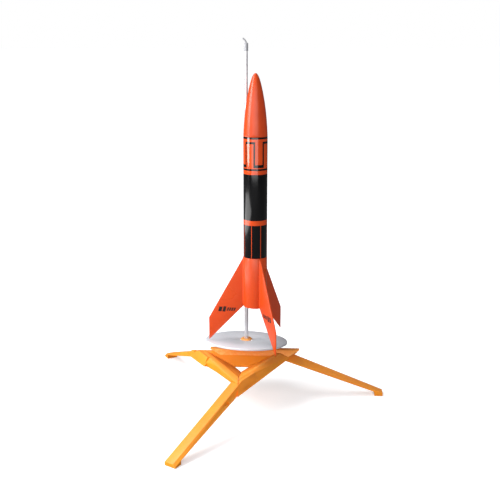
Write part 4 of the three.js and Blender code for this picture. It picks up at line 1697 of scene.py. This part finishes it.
# ------------------------------------------------------------------ studio
@dataclass
class Studio:
    """Floor, lights, surround and camera, in metres. Reflections see a dimmer surround than matt faces."""

    camera_place: tuple[float, float, float] = (-0.02064, -0.79016, 0.3770)
    camera_dip: float = 0.255
    lens: float = 57.18
    target: tuple[float, float, float] = (-0.01, 0.0, 0.16)
    floor_size: float = 60.0
    floor_glow: float = 0.37
    thrown_back: tuple[Colour, Colour] = ((0.36, 0.36, 0.36, 1.0), (0.12, 0.12, 0.12, 1.0))
    surround: tuple[float, float] = (0.34, 0.1)

    def build(self) -> None:
        """Builds the camera, floor and lights."""
        self.build_camera()
        self.build_floor()
        self.build_world()
        self.lamp("key", (-1.35, -0.42, 0.85), 0.6, 1.2, 26.0)
        self.lamp("front_fill", (-0.25, -1.75, 0.62), 2.2, 0.9, 16.0)
        self.card((-0.9, -0.08, 0.012), 0.9, 7.0)
        self.sky((-0.5, 0.15, 1.0), 1.35, 34.0)
        bpy.context.scene.view_settings.view_transform = "Standard"

    @staticmethod
    def stand(name: str, data: bpy.types.ID, place: Sequence[float] = (0, 0, 0),
              turn: Sequence[float] = (0, 0, 0)) -> bpy.types.Object:
        """Puts an object into the scene.

        Args:
            name: its name.
            data: its mesh, light or camera.
            place: where it stands, in metres.
            turn: its rotation, in radians.

        Returns:
            The object.
        """
        obj = bpy.data.objects.new(name, data)
        obj.location = place
        obj.rotation_euler = turn
        bpy.context.scene.collection.objects.link(obj)
        return obj

    def build_camera(self) -> None:
        """Builds the camera."""
        data = bpy.data.cameras.new("camera")
        data.lens = self.lens
        data.sensor_width = 36.0
        turn = (math.pi / 2 - self.camera_dip, 0, 0)
        bpy.context.scene.camera = self.stand("camera", data, self.camera_place, turn)

    def build_floor(self) -> None:
        """Builds the pale floor, which throws back little light."""
        bm = bmesh.new()
        bmesh.ops.create_grid(bm, x_segments=1, y_segments=1, size=self.floor_size)
        bmesh.ops.translate(bm, vec=(0, 0, -0.0002), verts=bm.verts)
        mesh = bpy.data.meshes.new("floor")
        bm.to_mesh(mesh)
        bm.free()
        material = bpy.data.materials.new("pale_floor")
        material.use_nodes = True
        graph = Graph(material.node_tree)
        shader = material.node_tree.nodes["Principled BSDF"]
        shader.inputs["Roughness"].default_value = 0.9
        shader.inputs["Specular IOR Level"].default_value = 0.1
        rays = graph.add("ShaderNodeLightPath").outputs
        seen = rays["Is Camera Ray"]
        speck = graph.noise(graph.centred(Vector()), 0.01, 2.0)
        pale = graph.mix(speck, rgb(252, 252, 253), rgb(248, 249, 250))
        thrown = graph.mix(rays["Is Glossy Ray"], *self.thrown_back)
        graph.feed(shader.inputs["Base Color"], graph.mix(seen, thrown, pale))
        shader.inputs["Emission Color"].default_value = (1.0, 1.0, 1.0, 1.0)
        graph.feed(shader.inputs["Emission Strength"], graph.spread(seen, 0.0, self.floor_glow))
        mesh.materials.append(material)
        self.stand("floor", mesh)

    def build_world(self) -> None:
        """Builds a white surround that lights the object softly."""
        world = bpy.data.worlds.new("studio")
        bpy.context.scene.world = world
        world.use_nodes = True
        graph = Graph(world.node_tree)
        back = world.node_tree.nodes["Background"]
        rays = graph.add("ShaderNodeLightPath").outputs
        seen = rays["Is Camera Ray"]
        graph.feed(back.inputs["Color"], graph.mix(seen, (0.95, 0.97, 1.0, 1.0), (1.0, 1.0, 1.0, 1.0)))
        lit = graph.spread(rays["Is Glossy Ray"], *self.surround)
        graph.feed(back.inputs["Strength"], graph.math("MAXIMUM", lit, seen))

    def card(self, place: tuple[float, float, float], side: float, power: float) -> None:
        """Adds a square light that lies on the floor and shines up.

        Args:
            place: its middle, in metres.
            side: its width.
            power: in watts.
        """
        light = bpy.data.lights.new("floor_card", "AREA")
        light.size, light.energy = side, power
        self.stand("floor_card", light, place, (math.pi, 0, 0))

    def sky(self, towards: tuple[float, float, float], strength: float, angle: float) -> None:
        """Adds a broad overhead sun.

        Args:
            towards: where it stands, as a direction.
            strength: in watts a square metre.
            angle: how wide it looks, in degrees.
        """
        light = bpy.data.lights.new("overhead", "SUN")
        light.energy, light.angle = strength, math.radians(angle)
        self.stand("overhead", light, turn=Vector(towards).to_track_quat("Z", "Y").to_euler())

    def lamp(self, name: str, place: tuple[float, float, float], wide: float, tall: float,
             power: float) -> None:
        """Adds an area light that faces the object.

        Args:
            name: its name.
            place: where it stands, in metres.
            wide: its width.
            tall: its height.
            power: in watts.
        """
        light = bpy.data.lights.new(name, "AREA")
        light.shape = "RECTANGLE"
        light.size, light.size_y, light.energy = wide, tall, power
        aim = Vector(self.target) - Vector(place)
        self.stand(name, light, place, aim.to_track_quat("-Z", "Y").to_euler())


def main() -> None:
    """Builds the studio and every sub-assembly in order."""
    logging.basicConfig(level=logging.INFO, format="%(name)s %(message)s")
    Studio().build()
    finishes = Finishes()
    for kind in (RecoveryGear, NoseSection, BodyTube, FinCan, MotorMount, LaunchRod, BlastPlate, Pad):
        log.info("building %s", kind.__name__)
        kind(finishes).build()


if __name__ == "__main__":
    main()
